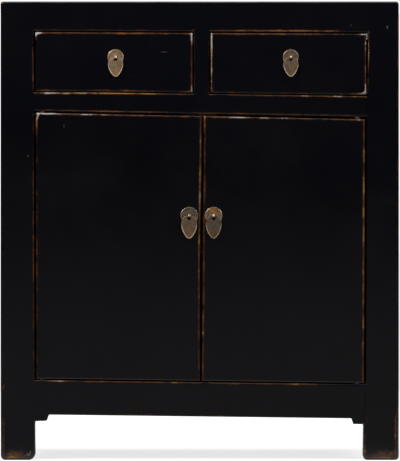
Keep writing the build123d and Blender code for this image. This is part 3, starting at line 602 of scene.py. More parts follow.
class Wiring:
    """Adds nodes to a tree and joins them, so that a finish reads from top to bottom."""

    def __init__(self, tree: bpy.types.NodeTree) -> None:
        """Take the tree to add to."""
        self.tree = tree

    def add(self, kind: str, **settings: object) -> bpy.types.Node:
        """Add a node.

        Args:
            kind: the node's type.
            settings: its properties.

        Returns:
            The node.
        """
        node = self.tree.nodes.new(kind)
        for name, value in settings.items():
            setattr(node, name, value)
        return node

    def feed(self, socket: bpy.types.NodeSocket, value: object) -> None:
        """Join a socket to another, or set its number."""
        if isinstance(value, bpy.types.NodeSocket):
            self.tree.links.new(value, socket)
        elif value is not None:
            socket.default_value = value

    def math(self, operation: str, a: object, b: object = None, clamp: bool = False) -> bpy.types.NodeSocket:
        """Work out one sum.

        Args:
            operation: the Math node's operation.
            a: first number or socket.
            b: second number or socket.
            clamp: whether the result stays between 0 and 1.

        Returns:
            The result's socket.
        """
        node = self.add("ShaderNodeMath", operation=operation, use_clamp=clamp)
        self.feed(node.inputs[0], a)
        self.feed(node.inputs[1], b)
        return node.outputs[0]

    def remap(self, value: object, low: float, high: float, to_low: object = 0.0,
              to_high: object = 1.0) -> bpy.types.NodeSocket:
        """Stretch a range onto another, smoothly and clamped.

        Args:
            value: what is stretched.
            low: start of its range.
            high: end of its range.
            to_low: result at the start.
            to_high: result at the end.

        Returns:
            The result's socket.
        """
        node = self.add("ShaderNodeMapRange", interpolation_type="SMOOTHSTEP")
        for socket, number in zip(node.inputs, (value, low, high, to_low, to_high)):
            self.feed(socket, number)
        return node.outputs[0]

    def noise(self, vector: object, scale: object, detail: float = 3.0, rough: float = 0.55,
              warp: float = 0.0) -> bpy.types.NodeSocket:
        """Cloudy noise.

        Args:
            vector: coordinates.
            scale: clouds in a metre.
            detail: number of finer layers.
            rough: strength of the finer layers.
            warp: how far the clouds are twisted.

        Returns:
            The noise's value, about 0.5 on average.
        """
        node = self.add("ShaderNodeTexNoise")
        self.feed(node.inputs["Vector"], vector)
        self.feed(node.inputs["Scale"], scale)
        self.feed(node.inputs["Detail"], detail)
        self.feed(node.inputs["Roughness"], rough)
        self.feed(node.inputs["Distortion"], warp)
        return node.outputs["Fac"]

    def stretch(self, vector: object, scale: Point, turn: Point = (0.0, 0.0, 0.0)) -> bpy.types.NodeSocket:
        """Scale and turn coordinates.

        Args:
            vector: coordinates.
            scale: factor along each axis.
            turn: angles about each axis.

        Returns:
            The new coordinates.
        """
        node = self.add("ShaderNodeMapping")
        self.feed(node.inputs["Vector"], vector)
        node.inputs["Scale"].default_value = scale
        node.inputs["Rotation"].default_value = turn
        return node.outputs[0]

    def ramp(self, value: object, stops: Sequence[tuple[float, Point]]) -> bpy.types.NodeSocket:
        """Colours along a range.

        Args:
            value: place in the range.
            stops: (place, colour) pairs.

        Returns:
            The colour's socket.
        """
        node = self.add("ShaderNodeValToRGB")
        band = node.color_ramp
        while len(band.elements) < len(stops):
            band.elements.new(0.5)
        for element, (place, colour) in zip(band.elements, stops):
            element.position = place
            element.color = (*colour, 1.0)
        self.feed(node.inputs[0], value)
        return node.outputs[0]

    def blend(self, share: object, one: object, other: object) -> bpy.types.NodeSocket:
        """Mix two colours.

        Args:
            share: share of the other.
            one: colour or socket.
            other: colour or socket.

        Returns:
            The colour's socket.
        """
        node = self.add("ShaderNodeMix", data_type="RGBA")
        self.feed(node.inputs[0], share)
        for socket, colour in ((node.inputs[6], one), (node.inputs[7], other)):
            self.feed(socket, (*colour, 1.0) if isinstance(colour, tuple) else colour)
        return node.outputs[2]

    def bump(self, shader: bpy.types.Node, height: object, strength: float, distance: float) -> None:
        """Raise a shader's surface.

        Args:
            shader: the shader.
            height: the height's socket.
            strength: strength of the bump.
            distance: its depth in metres.
        """
        node = self.add("ShaderNodeBump")
        node.inputs["Strength"].default_value = strength
        node.inputs["Distance"].default_value = distance
        self.feed(node.inputs["Height"], height)
        self.feed(shader.inputs["Normal"], node.outputs[0])

    def group(self, tree: bpy.types.NodeTree, **values: object) -> bpy.types.Node:
        """Place a node group.

        Args:
            tree: the group.
            values: what its inputs get, with _ for a space in their names.

        Returns:
            The node.
        """
        node = self.add("ShaderNodeGroup", node_tree=tree)
        for name, value in values.items():
            self.feed(node.inputs[name.replace("_", " ")], value)
        return node


def start_group(name: str, inputs: Sequence[tuple[str, str, object]],
                outputs: Sequence[str]) -> tuple[bpy.types.NodeTree, Wiring, bpy.types.Node, bpy.types.Node]:
    """Begin a node group.

    Args:
        name: the group's name.
        inputs: name, kind (Float or Vector) and default of each input.
        outputs: names of the outputs, all numbers.

    Returns:
        The group, its wiring, and its input and output nodes.
    """
    tree = bpy.data.node_groups.new(name, "ShaderNodeTree")
    for label, kind, default in inputs:
        socket = tree.interface.new_socket(label, in_out="INPUT", socket_type=f"NodeSocket{kind}")
        if default is not None:
            socket.default_value = default
    for label in outputs:
        tree.interface.new_socket(label, in_out="OUTPUT", socket_type="NodeSocketFloat")
    wiring = Wiring(tree)
    return tree, wiring, wiring.add("NodeGroupInput"), wiring.add("NodeGroupOutput")


class Effects:
    """The node groups that several finishes share, each built once."""

    def __init__(self) -> None:
        """Build the groups."""
        self.edge_wear = self.make_edge_wear()
        self.dust = self.make_dust()
        self.scratches = self.make_scratches()
        self.grain = self.make_grain()
        self.patina = self.make_patina()
        self.nick = self.make_nick()

    @staticmethod
    def make_nick() -> bpy.types.NodeTree:
        """One small scuff at a place.

        Returns:
            The group: Mask is 1 in the scuff, ragged at its edge.
        """
        tree, w, given, put = start_group(
            "nick", (("Vector", "Vector", None), ("Place", "Vector", None), ("Reach", "Vector", None)),
            ("Mask",),
        )
        vector, place, reach = given.outputs[:3]
        away = w.add("ShaderNodeVectorMath", operation="SUBTRACT")
        w.feed(away.inputs[0], vector)
        w.feed(away.inputs[1], place)
        share = w.add("ShaderNodeVectorMath", operation="DIVIDE")
        w.feed(share.inputs[0], away.outputs[0])
        w.feed(share.inputs[1], reach)
        length = w.add("ShaderNodeVectorMath", operation="LENGTH")
        w.feed(length.inputs[0], share.outputs[0])
        uneven = w.math("MULTIPLY", w.math("SUBTRACT", w.noise(vector, 600.0, 3.0, 0.6), 0.5), 1.6)
        w.feed(put.inputs["Mask"], w.remap(w.math("ADD", length.outputs["Value"], uneven), 1.0, 0.5))
        return tree

    @staticmethod
    def make_edge_wear() -> bpy.types.NodeTree:
        """Lacquer rubbed thin and then through along edges.

        Returns:
            The group: Edge says how near and how rubbed an edge is. Bare is where the ground shows,
            Thin where the lacquer has gone brown, and Lip the step at the broken lacquer.
        """
        tree, w, given, put = start_group(
            "edge wear",
            (("Vector", "Vector", None), ("Edge", "Float", 0.0), ("Scale", "Float", 180.0),
             ("Raggedness", "Float", 0.5)),
            ("Bare", "Thin", "Lip"),
        )
        vector, edge, scale, ragged = given.outputs[:4]
        broad = w.noise(vector, w.math("MULTIPLY", scale, 0.22), 2.0)
        fine = w.noise(vector, scale, 4.0, 0.65, 0.4)
        uneven = w.math("ADD", w.math("MULTIPLY", w.math("SUBTRACT", broad, 0.5), 1.1),
                        w.math("MULTIPLY", w.math("SUBTRACT", fine, 0.5), 1.3))
        level = w.math("ADD", edge, w.math("MULTIPLY", uneven, ragged))
        nearby = w.remap(edge, 0.02, 0.2)
        bare = w.math("MULTIPLY", w.remap(level, 0.5, 0.66), nearby)
        thin = w.math("MULTIPLY", w.remap(level, 0.16, 0.5), nearby)
        lip = w.math("MULTIPLY", w.remap(level, 0.46, 0.56), nearby)
        for socket, value in zip(put.inputs, (bare, thin, lip)):
            w.feed(socket, value)
        return tree

    @staticmethod
    def make_dust() -> bpy.types.NodeTree:
        """A thin film of dust and handling marks.

        Returns:
            The group: Film is a low cloudy mask, Specks are single grains.
        """
        tree, w, given, put = start_group(
            "dust", (("Vector", "Vector", None), ("Scale", "Float", 9.0), ("Amount", "Float", 0.5)),
            ("Film", "Specks"),
        )
        vector, scale, amount = given.outputs[:3]
        cloud = w.remap(w.noise(vector, scale, 5.0, 0.6, 0.6), 0.38, 0.78)
        w.feed(put.inputs["Film"], w.math("MULTIPLY", cloud, amount))
        cells = w.add("ShaderNodeTexVoronoi", feature="F1")
        w.feed(cells.inputs["Vector"], vector)
        w.feed(cells.inputs["Scale"], w.math("MULTIPLY", scale, 26.0))
        speck = w.remap(cells.outputs["Distance"], 0.05, 0.02)
        chosen = w.remap(w.noise(vector, w.math("MULTIPLY", scale, 3.1), 1.0), 0.52, 0.62)
        w.feed(put.inputs["Specks"], w.math("MULTIPLY", w.math("MULTIPLY", speck, chosen), amount))
        return tree

    @staticmethod
    def make_scratches() -> bpy.types.NodeTree:
        """Hair scratches in two directions.

        Returns:
            The group: Mask is 1 in a scratch.
        """
        tree, w, given, put = start_group(
            "scratches", (("Vector", "Vector", None), ("Density", "Float", 0.5)), ("Mask",)
        )
        vector, density = given.outputs[:2]
        total: object = None
        for scale, turn, clear in (  # clear is the share of the face that a set of scratches leaves clear
            ((40.0, 40.0, 3.0), (0.0, 0.35, 0.2), 0.55), ((3.0, 40.0, 46.0), (0.2, 0.15, -0.3), 0.6),
        ):
            line = w.noise(w.stretch(vector, scale, turn), 5.0, 2.0, 0.5)
            crossing = w.math("ABSOLUTE", w.math("SUBTRACT", line, 0.5))
            hair = w.remap(crossing, 0.012, 0.0)
            chosen = w.remap(w.noise(vector, 11.0, 1.0), clear, clear + 0.1)
            part = w.math("MULTIPLY", hair, chosen)
            total = part if total is None else w.math("MAXIMUM", total, part)
        w.feed(put.inputs["Mask"], w.math("MULTIPLY", total, density))
        return tree

    @staticmethod
    def make_grain() -> bpy.types.NodeTree:
        """Wood grain along X.

        Returns:
            The group: Bands are the year rings, Pores the short dark lines, Figure the broad tone.
        """
        tree, w, given, put = start_group(
            "wood grain", (("Vector", "Vector", None), ("Ring Scale", "Float", 30.0)),
            ("Bands", "Pores", "Figure"),
        )
        vector, rings = given.outputs[:2]
        slow = w.noise(w.stretch(vector, (0.8, 4.0, 4.0)), 1.6, 3.0, 0.5, 0.8)
        bands = w.math("FRACT", w.math("MULTIPLY", slow, rings))
        late = w.remap(w.math("ABSOLUTE", w.math("SUBTRACT", bands, 0.5)), 0.1, 0.5)
        pores = w.remap(w.noise(w.stretch(vector, (14.0, 420.0, 420.0)), 1.0, 2.0, 0.6), 0.58, 0.7)
        figure = w.noise(w.stretch(vector, (2.0, 12.0, 12.0)), 1.0, 4.0, 0.6, 0.5)
        for socket, value in zip(put.inputs, (late, pores, figure)):
            w.feed(socket, value)
        return tree

    @staticmethod
    def make_patina() -> bpy.types.NodeTree:
        """Mottled tarnish on metal.

        Returns:
            The group: Tarnish is the broad stain, Blotch its spots, and Pits the fine hammer and cast marks.
        """
        tree, w, given, put = start_group(
            "patina", (("Vector", "Vector", None), ("Scale", "Float", 90.0)), ("Tarnish", "Blotch", "Pits")
        )
        vector, scale = given.outputs[:2]
        tarnish = w.remap(w.noise(vector, scale, 5.0, 0.62, 0.9), 0.34, 0.68)
        blotch = w.remap(w.noise(vector, w.math("MULTIPLY", scale, 2.7), 4.0, 0.6, 0.5), 0.48, 0.66)
        pits = w.noise(vector, w.math("MULTIPLY", scale, 12.0), 3.0, 0.6)
        for socket, value in zip(put.inputs, (tarnish, blotch, pits)):
            w.feed(socket, value)
        return tree


def start_finish(name: str) -> tuple[bpy.types.Material, Wiring, bpy.types.Node, bpy.types.NodeSocket]:
    """Begin a material.

    Args:
        name: the material's name.

    Returns:
        The material, its wiring, its Principled shader and the object coordinates.
    """
    material = bpy.data.materials.new(name)
    material.use_nodes = True
    wiring = Wiring(material.node_tree)
    shader = material.node_tree.nodes["Principled BSDF"]
    coordinates = wiring.add("ShaderNodeTexCoord").outputs["Object"]
    return material, wiring, shader, coordinates


@dataclass(frozen=True)
class Lacquer:
    """Black lacquer, brown where it is thin, over a clay and fibre ground on wood; the ground's palest grey
    is also a painted highlight on up-facing edges.
    """

    effects: Effects
    black: Point = (0.0010, 0.0011, 0.0016)
    brown_black: Point = (0.0015, 0.0013, 0.0016)
    thin: Point = (0.055, 0.0175, 0.0020)
    # the pale grey at 0 is partly worn clay ground and partly a painted highlight, where up-facing edges take
    # tones near 0
    grounds_and_highlight: Sequence[tuple[float, Point]] = (
        (0.0, (0.29, 0.28, 0.275)), (0.3, (0.185, 0.128, 0.074)), (0.46, (0.150, 0.104, 0.014)),
        (0.62, (0.176, 0.080, 0.014)), (1.0, (0.172, 0.047, 0.004)),
    )
    nicks: Sequence[tuple[Point, Point, float]] = (  # place and reach in mm, and strength
        ((368.0, FRONT, 849.0), (2.0, 6.0, 4.5), 0.9), ((-70.0, FRONT, 800.5), (8.0, 6.0, 1.6), 0.45),
        ((-266.0, FRONT, 655.0), (1.3, 6.0, 6.0), 0.4), ((297.0, FRONT, 853.0), (2.0, 6.0, 1.3), 0.5),
        ((-337.0, FRONT, 596.0), (2.0, 6.0, 3.5), 0.35), ((-336.0, FRONT, 11.0), (5.0, 8.0, 3.5), 1.2),
        ((-332.0, FRONT, 15.5), (2.2, 8.0, 4.0), 1.2), ((376.0, FRONT, 13.0), (3.0, 8.0, 3.5), 1.2),
    )
    dust: Point = (0.055, 0.050, 0.046)
    polish: float = 0.105
    gloss: float = 0.27

    def build(self) -> bpy.types.Material:
        """Make the material.

        Returns:
            The material.
        """
        material, w, shader, at = start_finish("black_lacquer_rubbed")
        wear = w.add("ShaderNodeAttribute", attribute_name="wear").outputs["Fac"]
        tone = w.add("ShaderNodeAttribute", attribute_name="tone").outputs["Fac"]
        rub = w.group(self.effects.edge_wear, Vector=at, Edge=wear, Scale=190.0, Raggedness=0.55)
        film = w.group(self.effects.dust, Vector=at, Scale=7.0, Amount=0.5)
        hairs = w.group(self.effects.scratches, Vector=at, Density=0.6)
        broad = w.remap(w.noise(at, 3.2, 3.0), 0.35, 0.7)
        body = w.blend(broad, self.black, self.brown_black)
        body = w.blend(w.math("MULTIPLY", film.outputs["Film"], 0.02), body, self.dust)
        body = w.blend(w.math("MULTIPLY", film.outputs["Specks"], 0.2), body, self.dust)
        body = w.blend(w.math("MULTIPLY", hairs.outputs["Mask"], 0.06), body, self.dust)
        for place, reach, strength in self.nicks:
            nick = w.group(self.effects.nick, Vector=at, Place=tuple(c * MM for c in place),
                           Reach=tuple(c * MM for c in reach))
            body = w.blend(w.math("MULTIPLY", nick.outputs["Mask"], strength), body, self.dust)
        body = w.blend(rub.outputs["Thin"], body, self.thin)
        shift = w.math("MULTIPLY", w.math("SUBTRACT", w.noise(at, 120.0, 2.0), 0.5), 0.4)
        ground_and_highlight = w.ramp(w.math("ADD", tone, shift, clamp=True), self.grounds_and_highlight)
        w.feed(shader.inputs["Base Color"], w.blend(rub.outputs["Bare"], body, ground_and_highlight))
        shader.inputs["Specular IOR Level"].default_value = self.gloss
        rough = w.remap(w.noise(at, 5.0, 4.0, 0.6), 0.3, 0.75, self.polish, self.polish + 0.04)
        rough = w.math("ADD", rough, w.math("MULTIPLY", rub.outputs["Thin"], 0.12))
        rough = w.math("ADD", rough, w.math("MULTIPLY", rub.outputs["Bare"], 0.28))
        rough = w.math("ADD", rough, w.math("MULTIPLY", film.outputs["Film"], 0.06), clamp=True)
        w.feed(shader.inputs["Roughness"], rough)
        ripple = w.math("MULTIPLY", w.noise(w.stretch(at, (1.0, 1.0, 0.5)), 26.0, 2.0, 0.45), 0.35)
        skin = w.math("MULTIPLY", w.noise(at, 700.0, 2.0), 0.03)
        height = w.math("ADD", ripple, skin)
        height = w.math("SUBTRACT", height, w.math("MULTIPLY", hairs.outputs["Mask"], 0.08))
        height = w.math("SUBTRACT", height, w.math("MULTIPLY", rub.outputs["Lip"], 0.5))
        w.bump(shader, height, 0.25, 0.0006)
        return material


@dataclass(frozen=True)
class BareWood:
    """Unfinished softwood, darkened by age and handling."""

    effects: Effects
    axis: Axis
    pale: Point = (0.36, 0.225, 0.118)
    dark: Point = (0.20, 0.108, 0.050)
    pore: Point = (0.10, 0.052, 0.024)
    dust: Point = (0.30, 0.26, 0.21)

    def build(self) -> bpy.types.Material:
        """Make the material.

        Returns:
            The material, its grain along the axis.
        """
        material, w, shader, at = start_finish(f"bare_softwood_{self.axis.name.lower()}")
        turn = {Axis.X: (0.0, 0.0, 0.0), Axis.Y: (0.0, 0.0, pi / 2), Axis.Z: (0.0, pi / 2, 0.0)}[self.axis]
        along = w.stretch(at, (1.0, 1.0, 1.0), turn)
        grain = w.group(self.effects.grain, Vector=along, Ring_Scale=22.0)
        film = w.group(self.effects.dust, Vector=at, Scale=5.0, Amount=0.7)
        hairs = w.group(self.effects.scratches, Vector=at, Density=0.7)
        colour = w.blend(grain.outputs["Bands"], self.pale, self.dark)
        colour = w.blend(w.math("MULTIPLY", grain.outputs["Figure"], 0.35), colour, self.dark)
        colour = w.blend(w.math("MULTIPLY", grain.outputs["Pores"], 0.7), colour, self.pore)
        colour = w.blend(w.math("MULTIPLY", film.outputs["Film"], 0.35), colour, self.dust)
        colour = w.blend(w.math("MULTIPLY", hairs.outputs["Mask"], 0.4), colour, self.pore)
        w.feed(shader.inputs["Base Color"], colour)
        w.feed(shader.inputs["Roughness"], w.remap(grain.outputs["Figure"], 0.3, 0.7, 0.62, 0.8))
        height = w.math("SUBTRACT", w.math("MULTIPLY", grain.outputs["Bands"], 0.4),
                        w.math("MULTIPLY", grain.outputs["Pores"], 0.6))
        w.bump(shader, height, 0.3, 0.0005)
        return material


@dataclass(frozen=True)
class Tarnish:
    """How one piece of brass has aged.

    shade is its lightness, brown its share of brown against grey, speckle its spots of soot, and rub
    how bright its rubbed edges are.
    """

    shade: float
    brown: float
    speckle: float = 0.5
    rub: float = 1.0


@dataclass(frozen=True)
class AgedBrass:
    """Old brass: rubbed on its raised edges, tarnished all over, sooty in its hollows, with painted shade
    below the pin, on the eye's lower half and in the drop's slot, and a painted highlight on the eye's front.
    """

    effects: Effects
    name: str
    tarnish: Tarnish
    warm: Point = (0.36, 0.185, 0.065)
    grey: Point = (0.25, 0.22, 0.18)
    # rubbed brass, also used as the painted highlight on the front of the eye
    bright: Point = (0.70, 0.57, 0.38)
    # dark for soot specks, soot in the plate's groove, and painted shade below the pin, on the eye's lower
    # half and in the drop's slot
    soot_and_shade_colour: Point = (0.010, 0.006, 0.006)

    def shaded(self, colour: Point, level: float) -> Point:
        """A colour made lighter or darker."""
        return tuple(c * level for c in colour)

    def build(self) -> bpy.types.Material:
        """Make the material.

        Returns:
            The material.
        """
        material, w, shader, at = start_finish(self.name)
        # the first mark is rubbed edges and, on the eye, a painted highlight; the last is soot in the plate's
        # groove and painted shade below the pin, on the eye and in the slot
        rim, down, hollow = (w.add("ShaderNodeAttribute", attribute_name=mark).outputs["Fac"]
                             for mark in ("rim", "down", "hollow"))
        shade = self.tarnish.shade
        bright = self.shaded(self.bright, self.tarnish.rub)
        stain = w.group(self.effects.patina, Vector=at, Scale=85.0)
        hairs = w.group(self.effects.scratches, Vector=at, Density=0.6)
        drift = w.math("MULTIPLY", w.math("SUBTRACT", w.noise(at, 95.0, 3.0), 0.5), 3.0)
        browned = w.math("ADD", drift, self.tarnish.brown, clamp=True)
        colour = w.blend(browned, self.shaded(self.grey, shade), self.shaded(self.warm, shade))
        low = w.remap(w.math("ADD", down, w.math("MULTIPLY", drift, 0.08)), 0.55, 0.85)
        colour = w.blend(low, colour, self.shaded(self.warm, shade * 1.05))
        blotch = w.math("MULTIPLY", stain.outputs["Blotch"], 0.7)
        colour = w.blend(blotch, colour, self.shaded(self.warm, shade * 0.75))
        speckle = w.remap(w.noise(at, 430.0, 2.0), 0.50, 0.66)
        colour = w.blend(w.math("MULTIPLY", speckle, self.tarnish.speckle), colour, self.soot_and_shade_colour)
        # rubbed edges, and the painted highlight on the eye's front
        rubbed = w.remap(w.math("ADD", rim, w.math("MULTIPLY", stain.outputs["Pits"], 0.3)), 0.35, 1.0)
        colour = w.blend(rubbed, colour, bright)
        colour = w.blend(w.math("MULTIPLY", hairs.outputs["Mask"], 0.15), colour, bright)
        # soot in the groove, and painted shade below the pin, on the eye's lower half and in the drop's slot
        colour = w.blend(hollow, colour, self.soot_and_shade_colour)
        w.feed(shader.inputs["Base Color"], colour)
        w.feed(shader.inputs["Metallic"], w.remap(stain.outputs["Tarnish"], 0.0, 1.0, 0.7, 0.4))
        rough = w.remap(stain.outputs["Blotch"], 0.0, 1.0, 0.38, 0.50)
        rough = w.math("SUBTRACT", rough, w.math("MULTIPLY", rubbed, 0.1))
        w.feed(shader.inputs["Roughness"], w.math("ADD", rough, w.math("MULTIPLY", hollow, 0.4), clamp=True))
        height = w.math("ADD", w.math("MULTIPLY", stain.outputs["Pits"], 0.5),
                        w.math("MULTIPLY", stain.outputs["Tarnish"], 0.5))
        w.bump(shader, height, 0.35, 0.0003)
        return material


@dataclass
class Finishes:
    """Every material of the cabinet."""

    effects: Effects = field(default_factory=Effects)

    def __post_init__(self) -> None:
        """Build the materials."""
        self.lacquer = Lacquer(self.effects).build()
        self.wood = {axis: BareWood(self.effects, axis).build() for axis in Axis}

    def lacquered(self, bag: MeshBag, node: str) -> None:
        """Make a lacquered piece of the carcass that stands for a node."""
        bag.piece(f"{node}_lacquered", "carcass", "black_lacquer", self.lacquer, (node,))


# Sub-assemblies


def mirrored(side: int, low: float, high: float) -> tuple[float, float]:
    """A span, or its mirror image on the left.

    Args:
        side: -1 for left, 1 for right.
        low: the end nearer the middle, on the right.
        high: the end further out.

    Returns:
        The span in rising order.
    """
    return (low, high) if side > 0 else (-high, -low)


@dataclass
class FrontFrame:
    """Front posts, rails, divider and apron, flush in one face."""

    finishes: Finishes
    opening_radius: float = 2.5
    outer_radius: float = 6.5
    left_inner: Along = (  # inner face of each post, by height
        (0, -322.0), (84, -322.5), (153, -323.4), (400, -324.4), (721, -324.6), (800, -325.6),
    )
    right_inner: Along = (
        (0, 320.0), (70, 320.5), (76, 324.0), (153, 325.6), (400, 327.0), (679, 327.5), (721, 328.5),
        (800, 330.0),
    )

    def lacquered(self, board: Board, node: str, settling: Optional[Settling] = FRAME_SETTLING) -> None:
        """Make a lacquered board that stands for a node."""
        self.finishes.lacquered(board.build(MeshBag(settling=settling)), node)

    def build(self) -> None:
        """Make the whole front."""
        self.left_post()
        self.right_post()
        self.rails()
        self.divider()
        self.apron()

    def across(self, z: float) -> tuple[float, float]:
        """Inner faces of the posts at a height."""
        return value_along(self.left_inner, z), value_along(self.right_inner, z)

    def left_post(self) -> None:
        """Make the left front post with its foot: rubbed beside the drawer's end and the door's middle."""
        openings = (DRAWERS, DOORS, (0.0, APRON[0]))
        inner = Edge(
            self.opening_radius,
            ((0, 0.4), (84, 0.25), (450, 0.4), (700, 0.25), (785, 0.45), (842, 0.2)),
            ((0, 0.3), (300, 0.8), (679, 0.9), (842, 0.4)), openings,
            breadth=0.9, swell=((0, 1.6), (70, 1.4), (84, 1.0)),
        )
        outer = Edge(  # with one knock above the foot
            self.outer_radius, ((0, 0.35), (136, 0.2), (143, 0.6), (150, 0.2), (200, 0.1)),
            ((0, 0.1), (160, 0.4)), lean=steady(0.0), breadth=0.35, swell=((0, 1.15), (80, 1.0)),
        )
        foot = End(10.0, 15.0, 5.5, 3.0, ((-386, 0.1), (-376, 0.6), (-352, 0.6), (-340, 0.3)), steady(0.3),
                   lean=0.0, breadth=0.35, scuff=20.0)
        self.post("left", lambda z: (-SIDE, value_along(self.left_inner, z), FRONT, POSTS_FRONT),
                  (outer, inner, *self.post_back()), foot, 2.0)

    def right_post(self) -> None:
        """Make the right front post with its foot: rubbed at the foot and beside the drawer's upper end."""
        openings = (DRAWERS, DOORS, (0.0, APRON[0]))
        inner = Edge(
            self.opening_radius,
            ((0, 0.5), (84, 0.4), (153, 0.05), (679, 0.05), (790, 0.55), (842, 0.45)),
            ((0, 0.0), (153, 0.5), (842, 0.3)), openings,
            lean=((0, 0.0), (84, 0.0), (100, 0.3)), breadth=0.5, swell=((0, 1.8), (70, 1.6), (84, 1.0)),
        )
        outer = Edge(
            self.outer_radius, ((0, 0.5), (80, 0.45), (110, 0.2), (876, 0.4)),
            ((0, 0.0), (80, 0.05), (110, 1.0)), lean=((0, 0.0), (80, 0.0), (110, 0.6)), breadth=0.4,
            swell=((0, 1.25), (80, 1.1), (120, 1.0)),
        )
        foot = End(10.0, 8.0, 5.5, 3.0, ((323, 0.2), (350, 0.6), (378, 0.5), (386, 0.1)), steady(0.25),
                   lean=0.0, breadth=0.35, scuff=19.0)
        back, outer_back = self.post_back()
        self.post("right", lambda z: (value_along(self.right_inner, z), SIDE + 0.4, FRONT, POSTS_FRONT),
                  (inner, outer, outer_back, back), foot, 4.0)

    def post_back(self) -> tuple[Edge, Edge]:
        """Inner and outer back edges of a post."""
        return (Edge(1.5, spans=((0.0, APRON[0]),)),
                Edge(1.2, steady(0.3), steady(Tone.GOLD), ((DOORS[0], TOP_RAILS), (0.0, APRON[0]))))

    def post(self, name: str, shape: Callable[[float], tuple[float, float, float, float]],
             edges: Sequence[Edge], foot: End, seed: float) -> None:
        """Make a front post.

        Args:
            name: left or right.
            shape: sides of its section at a height.
            edges: its long edges, round the section.
            foot: its lower end.
            seed: number of the post.
        """
        kinks = [z for z, _ in (*self.left_inner, *self.right_inner) if z > 0]
        board = Board(Axis.Z, 0.0, TOP_UNDERSIDE, shape(0.0)[:2], (FRONT, POSTS_FRONT), edges, start=foot,
                      shape=shape, marks=kinks, seed=seed)
        self.lacquered(board, f"front_post_{name}", None)

    def rails(self) -> None:
        """Make the rails above the drawers, between drawers and doors, and below the doors."""
        depth = (FRONT, RAIL_BACK)
        plain = Edge()
        radius = self.opening_radius
        across = self.across(DRAWERS[1])
        drawers = ((across[0], DIVIDER[0]), (DIVIDER[1], across[1]))
        over = Edge(
            radius, ((-325, 0.3), (-20, 0.3), (60, 0.6), (230, 0.7), (300, 0.1)), ((-20, 0.8), (60, 0.95)),
            drawers, lean=((-20, 0.3), (22, 0.12)), breadth=0.85,
        )
        self.lacquered(Board(Axis.X, *across, depth, (DRAWERS[1], TOP_UNDERSIDE), (over, plain, plain, plain),
                             seed=11.0), "front_top_rail")
        across = self.across(DRAWERS[0])
        drawers = ((across[0], DIVIDER[0]), (DIVIDER[1], across[1]))
        # tone near 0 at the left end gives the pale grey ground: partly worn clay, partly a painted highlight
        # on this up-facing edge
        sill = Edge(
            radius, ((-325, 0.55), (-190, 0.8), (-12, 0.3), (60, 0.3), (200, 0.55), (330, 0.5)),
            ((-325, 0.0), (-150, 0.8), (-42, 0.2), (100, 0.8), (303, 0.1)), drawers, breadth=0.85,
        )
        under = Edge(
            radius, ((-325, 0.2), (-140, 0.65), (-30, 0.3), (150, 0.45), (325, 0.2)),
            ((-300, 0.5), (-200, 0.8), (0, 0.4), (100, 0.8)), lean=steady(0.2), breadth=0.85,
        )
        self.lacquered(Board(Axis.X, *across, depth, (DOORS[1], DRAWERS[0]), (under, plain, plain, sill),
                             seed=12.0), "drawer_rail")
        # tone near 0 at the left end gives the pale grey ground: partly worn clay, partly a painted highlight
        # on this up-facing edge
        below = Edge(
            radius, ((-325, 0.5), (0, 0.45), (200, 0.55), (278, 0.1)), ((-316, 0.0), (-60, 0.6), (240, 0.6)),
            breadth=0.85,
        )
        self.lacquered(Board(Axis.X, *self.across(DOORS[0]), depth, (APRON[1], DOORS[0]),
                             (plain, plain, plain, below), seed=13.0), "front_bottom_rail")

    def divider(self) -> None:
        """Make the upright between the drawers."""
        dull = Edge(self.opening_radius, steady(0.2), steady(Tone.RUST))
        self.lacquered(Board(Axis.Z, *DRAWERS, DIVIDER, (FRONT, RAIL_BACK), (dull, dull, Edge(), Edge()),
                             seed=14.0), "drawer_divider")

    def apron(self) -> None:
        """Make the apron, with a small stepped bracket at each post."""
        reach, slope, soft = 28.0, 5.5, 2.0
        low, high = self.across(APRON[1])

        def shape(x: float) -> tuple[float, float, float, float]:
            """Sides of the section at x, the lower one stepping down beside the posts.

            Args:
                x: place along the apron.

            Returns:
                Low u, high u, low v and high v.
            """
            beside = min(x - low, high - x)
            out = min(max((reach - beside) / slope, 0.0), 1.0)
            eased = out * out * (3 - 2 * out)
            knob = 1.6 * eased * noise.noise(Vector((x / 7.0, 2.5, 0.0)))
            drop = 12.0 if x < 0 else 10.0
            return (FRONT, FRONT + 18.0, APRON[0] - drop * eased + knob, APRON[1])

        wear: Along = (  # two rubbed patches
            (-150, 0.2), (-139, 0.6), (-97, 0.6), (-85, 0.2), (8, 0.2), (18, 0.6), (50, 0.55), (60, 0.15),
        )
        near = [end + way * (reach - d)
                for end, way in ((low, 1), (high, -1)) for d in (0.8, 1.7, 2.5, 3.4, 4.2)]
        self.lacquered(
            Board(Axis.X, low, high, (FRONT, FRONT + 18.0), APRON,
                  (Edge(soft, wear, steady(0.75)), Edge(1.2), Edge(), Edge()), shape=shape,
                  marks=near, seed=15.0),
            "front_apron",
        )


